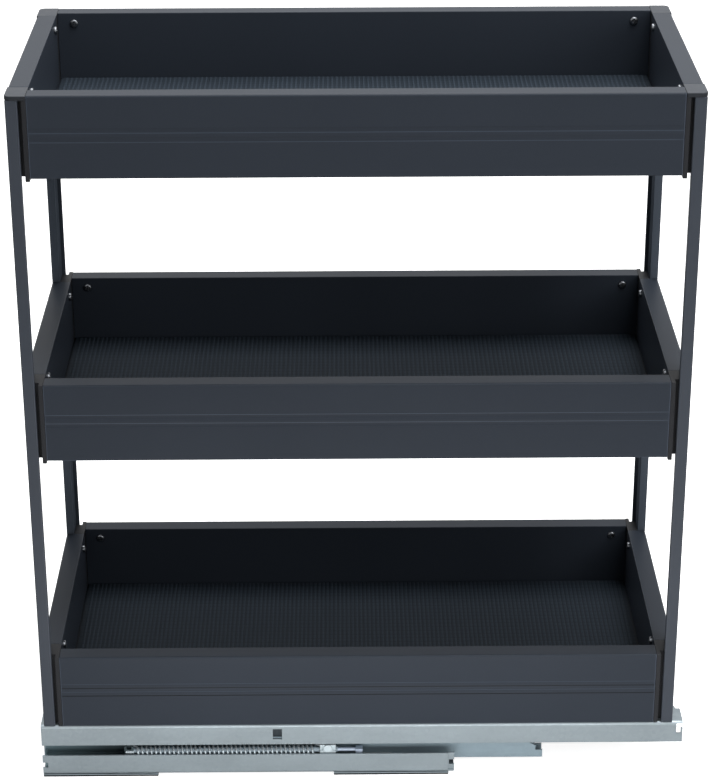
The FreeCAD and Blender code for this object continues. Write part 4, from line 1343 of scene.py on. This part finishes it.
@dataclass
class Screws:
    """Pan heads with a cross recess on the seats of every kind of screw."""

    finishes: Finishes
    head_radius: float = 3.4 * MM
    head_height: float = 2.0 * MM
    # An end that is this much wider than the shank is the head.
    head_share: float = 1.2
    crown_radius: float = 2.85 * MM
    crown_height: float = 1.7 * MM
    # Height of the crown's straight rim and radius of its flat top, as shares of the crown.
    rim_share: float = 0.35
    top_share: float = 0.6
    dome_steps: int = 5
    sides: int = 24
    shank_radius: float = 2.0 * MM
    tip_share: float = 0.7
    tip_length: float = 0.6 * MM
    arm_length: float = 1.6 * MM
    arm_width: float = 0.9 * MM
    arm_depth: float = 1.2 * MM
    arm_taper: float = 0.62

    def build(self) -> None:
        """Grow the three kinds of screw."""
        for node, slot in (("basket_screws", "bright_screws"), ("post_screws", "zinc_screws"),
                           ("rail_screws", "zinc_screws")):
            self.grow_kind(node)

    def grow_kind(self, node: str) -> None:
        """Put a detailed screw where each plain one stands.

        Args:
            node: The node whose solids are the plain screws.
        """
        seats = self.read_seats(node)
        seed = bpy.data.meshes.new(node + "_seats")
        seed.from_pydata([seat.place for seat in seats], [], [])
        attribute = seed.attributes.new("facing", "FLOAT_VECTOR", "POINT")
        for item, seat in zip(attribute.data, seats):
            item.vector = seat.facing
        model = self.screw_model(node, seats[0].reach)
        tree = GrowthTree(node + "_rows", {"Screw": model, "Material": self.finishes["screw"]})
        facing = tree.node("GeometryNodeInputNamedAttribute", {"data_type": "FLOAT_VECTOR"},
                           {"Name": "facing"}, out="Attribute")
        turn = tree.node("FunctionNodeAlignRotationToVector", {"axis": "Z"}, {"Vector": facing})
        screw = tree.node("GeometryNodeObjectInfo", {}, {"Object": tree.given("Screw")}, out="Geometry")
        tree.finish(tree.node("GeometryNodeInstanceOnPoints", {}, {
            "Points": tree.given("Geometry"), "Instance": screw, "Rotation": turn}))
        piece = tree.grow(node + "_recessed", seed)
        bpy.data.objects.remove(model)
        shade_smooth(piece, limit=35.0)
        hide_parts(node)
        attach(piece, "carriage")

    def read_seats(self, node: str) -> list[Seat]:
        """Find where each plain screw sits.

        Args:
            node: The node whose solids are the plain screws.

        Returns:
            One seat for each screw, in the order of their places.
        """
        shape = bmesh.new()
        shape.from_mesh(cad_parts[node].data)
        bmesh.ops.remove_doubles(shape, verts=shape.verts, dist=MERGE_REACH)
        left = set(shape.verts)
        seats = []
        while left:
            seats.append(self.read_seat([vertex.co for vertex in self.take_island(left)]))
        shape.free()
        return sorted(seats, key=lambda seat: tuple(seat.place))

    @staticmethod
    def take_island(left: set[bmesh.types.BMVert]) -> list[bmesh.types.BMVert]:
        """Remove one connected set of corners from those that are left.

        Args:
            left: The corners that no island has taken.

        Returns:
            The island's corners.
        """
        stack = [left.pop()]
        island = []
        while stack:
            vertex = stack.pop()
            island.append(vertex)
            for edge in vertex.link_edges:
                other = edge.other_vert(vertex)
                if other in left:
                    left.remove(other)
                    stack.append(other)
        return island

    def read_seat(self, points: Sequence[Vector]) -> Seat:
        """Find the seat of one plain screw.

        Args:
            points: The corners of its mesh.

        Returns:
            Its seat, on the screw's axis.
        """
        low = [min(point[i] for point in points) for i in range(3)]
        high = [max(point[i] for point in points) for i in range(3)]
        # Across its axis a screw is as wide as its head.
        along = max(range(3), key=lambda i: abs(high[i] - low[i] - 2 * self.head_radius))
        centre = (Vector(low) + Vector(high)) / 2
        width = self.width_at(points, along, low[along], centre)
        head_is_low = width > self.shank_radius * self.head_share
        centre[along] = low[along] + self.head_height if head_is_low else high[along] - self.head_height
        facing = Vector((0.0, 0.0, 0.0))
        facing[along] = -1.0 if head_is_low else 1.0
        return Seat(centre, facing, high[along] - low[along] - self.head_height)

    @staticmethod
    def width_at(points: Sequence[Vector], along: int, level: float, centre: Vector) -> float:
        """Measure how wide a screw is at one level.

        Args:
            points: The corners of its mesh.
            along: Number of the axis that it lies along.
            level: Where to measure on that axis.
            centre: A point of its axis.

        Returns:
            Greatest distance from its axis.
        """
        widest = 0.0
        for point in points:
            if abs(point[along] - level) < LEVEL_REACH:
                offset = [point[i] - centre[i] for i in range(3) if i != along]
                widest = max(widest, math.hypot(*offset))
        return widest

    def screw_model(self, name: str, reach: float) -> bpy.types.Object:
        """Turn one screw with a domed head and a cross recess, its seat at the origin and its head up.

        Args:
            name: Start of the object's name.
            reach: Length of the shank.

        Returns:
            The object, which the caller removes.
        """
        rings = [(self.shank_radius * self.tip_share, -reach), (self.shank_radius, self.tip_length - reach),
                 (self.shank_radius, 0.0), (self.crown_radius, 0.0),
                 (self.crown_radius, self.crown_height * self.rim_share)]
        for step in range(1, self.dome_steps + 1):
            angle = math.pi / 2 * step / (self.dome_steps + 1)
            rings.append((self.crown_radius * (self.top_share + (1.0 - self.top_share) * math.cos(angle)),
                          self.crown_height * (self.rim_share + (1.0 - self.rim_share) * math.sin(angle))))
        shape = bmesh.new()
        loops = add_rings(shape, rings, self.sides, Matrix.Identity(4))
        shape.faces.new(loops[0][::-1])
        self.close_with_recess(shape, loops[-1])
        bmesh.ops.recalc_face_normals(shape, faces=shape.faces)
        model = bpy.data.objects.new(name + "_model", mesh_from(shape, name + "_model"))
        bpy.context.scene.collection.objects.link(model)
        return model

    def close_with_recess(self, shape: bmesh.types.BMesh, rim: list[bmesh.types.BMVert]) -> None:
        """Close the top of the head with a cross recess.

        Args:
            shape: The screw's mesh.
            rim: The last ring of the dome.
        """
        top, bottom = self.crown_height, self.crown_height - self.arm_depth
        narrow, long = self.arm_width / 2, self.arm_length
        turns = [Matrix.Rotation(quarter * math.pi / 2, 3, "Z") for quarter in range(4)]
        outline = [turn @ Vector((x, y, 0.0)) for turn in turns
                   for x, y in ((long, -narrow), (long, narrow), (narrow, narrow))]
        mouth = [shape.verts.new((p.x, p.y, top)) for p in outline]
        floor = [shape.verts.new((p.x * self.arm_taper, p.y * self.arm_taper, bottom)) for p in outline]
        count = len(mouth)
        for k in range(count):
            shape.faces.new((mouth[(k + 1) % count], mouth[k], floor[k], floor[(k + 1) % count]))
        shape.faces.new(floor)
        edges = [shape.edges.get((loop[k - 1], loop[k])) for loop in (rim, mouth) for k in range(len(loop))]
        bmesh.ops.triangle_fill(shape, use_beauty=True, edges=edges)


# Studio


@dataclass(frozen=True)
class Lamp:
    """A soft box: its place, what it points at, its width and height and its power."""

    name: str
    place: Place
    aim: Place
    width: float
    height: float
    power: float

    def hang(self) -> None:
        """Hang the lamp in the scene."""
        light = bpy.data.lights.new(self.name, "AREA")
        light.shape = "RECTANGLE"
        light.size, light.size_y = self.width, self.height
        light.energy = self.power
        hung = bpy.data.objects.new(self.name, light)
        hung.location = self.place
        hung.rotation_mode = "QUATERNION"
        hung.rotation_quaternion = (Vector(self.aim) - Vector(self.place)).to_track_quat("-Z", "Y")
        bpy.context.scene.collection.objects.link(hung)


@dataclass
class Studio:
    """The photograph's camera, a white floor and soft boxes."""

    focal_pixels: float = 2455.42
    long_side_pixels: int = 783
    sensor_width: float = 36.0
    clip_range: tuple[float, float] = (0.01, 100.0)
    camera_place: Place = (-0.01196, -1.57870, 0.95501)
    camera_pitch: float = 0.419544
    camera_yaw: float = 0.005797
    camera_roll: float = -0.003443
    room_light: float = 0.235
    floor_side: float = 14.0
    floor_gap: float = 0.02 * MM
    floor_tone: float = 0.86
    floor_glow: float = 0.85
    lamps: tuple[Lamp, ...] = (
        Lamp("overhead_front", (0.5, -0.5, 2.2), (0.0, 0.0, 0.25), 1.4, 1.4, 37.0),
        Lamp("overhead_rear", (0.0, 0.8, 2.1), (0.0, 0.0, 0.25), 1.4, 1.4, 27.0),
        Lamp("side", (0.85, -0.95, 0.8), (0.1, 0.0, 0.35), 0.6, 0.6, 5.0),
        Lamp("low_strip", (0.0, -0.34, 0.035), (0.0, -0.1, 0.06), 0.44, 0.06, 0.42),
    )

    def build(self) -> None:
        """Set up the room, the lamps and the camera."""
        self.light_room()
        self.lay_floor()
        for lamp in self.lamps:
            lamp.hang()
        self.stand_camera()
        bpy.context.scene.view_settings.view_transform = "Standard"

    def light_room(self) -> None:
        """White room for the camera and for reflections, plain soft light for the rest."""
        world = bpy.data.worlds.new("studio")
        world.use_nodes = True
        bpy.context.scene.world = world
        sketch = Sketch(world.node_tree)
        sketch.tree.nodes.clear()
        seen = sketch.rays("Is Camera Ray") + sketch.rays("Is Glossy Ray")
        seen = seen + sketch.rays("Is Transmission Ray")
        plain = sketch.node("ShaderNodeBackground", {}, {"Color": WHITE, "Strength": self.room_light})
        white = sketch.node("ShaderNodeBackground", {}, {"Color": WHITE, "Strength": 1.0})
        mixed = sketch.node("ShaderNodeMixShader", {}, {0: seen, 1: plain, 2: white})
        sketch.node("ShaderNodeOutputWorld", {}, {"Surface": mixed})

    def lay_floor(self) -> None:
        """A matt white floor just under the base plates."""
        half, level = self.floor_side / 2, CAD_BOX[0].z - self.floor_gap
        mesh = bpy.data.meshes.new("studio_floor")
        corners = [(x * half, y * half, level) for x, y in ((-1, -1), (1, -1), (1, 1), (-1, 1))]
        mesh.from_pydata(corners, [], [(0, 1, 2, 3)])
        material = bpy.data.materials.new("studio_floor_white")
        material.use_nodes = True
        sketch = Sketch(material.node_tree)
        sketch.tree.nodes.clear()
        tone = (self.floor_tone, self.floor_tone, self.floor_tone, 1.0)
        paper = sketch.node("ShaderNodeBsdfDiffuse", {}, {"Color": tone})
        glow = sketch.node("ShaderNodeEmission", {}, {"Color": WHITE, "Strength": self.floor_glow})
        lit = sketch.node("ShaderNodeAddShader", {}, {0: paper, 1: glow})
        shine = sketch.node("ShaderNodeMixShader", {}, {0: sketch.rays("Is Camera Ray"), 1: paper, 2: lit})
        sketch.node("ShaderNodeOutputMaterial", {}, {"Surface": shine})
        mesh_piece("studio_floor", mesh, material)

    def stand_camera(self) -> None:
        """Stand the camera where the photograph was taken from."""
        pitch, yaw, roll = self.camera_pitch, self.camera_yaw, self.camera_roll
        ahead = Vector((math.sin(yaw) * math.cos(pitch), math.cos(yaw) * math.cos(pitch), -math.sin(pitch)))
        level_right = Vector((math.cos(yaw), -math.sin(yaw), 0.0))
        level_up = level_right.cross(ahead)
        right = level_right * math.cos(roll) + level_up * math.sin(roll)
        up = level_up * math.cos(roll) - level_right * math.sin(roll)
        data = bpy.data.cameras.new("photo_camera")
        data.sensor_width = self.sensor_width
        data.lens = self.sensor_width * self.focal_pixels / self.long_side_pixels
        data.clip_start, data.clip_end = self.clip_range
        camera = bpy.data.objects.new("photo_camera", data)
        turn = Matrix((right, up, -ahead)).transposed().to_4x4()
        camera.matrix_world = Matrix.Translation(Vector(self.camera_place)) @ turn
        bpy.context.scene.collection.objects.link(camera)
        bpy.context.scene.camera = camera


def main() -> None:
    """Dress the rack and set up the studio."""
    logging.basicConfig(level=logging.INFO, format="%(message)s")
    palette = Palette()
    finishes = {item.name: getattr(palette, item.name).make() for item in fields(palette)}
    for tier in Tier:
        Basket(tier, finishes).build()
    Posts(finishes).build()
    Slides(finishes).build()
    SoftClose(finishes).build()
    Screws(finishes).build()
    Studio().build()


if __name__ == "__main__":
    main()
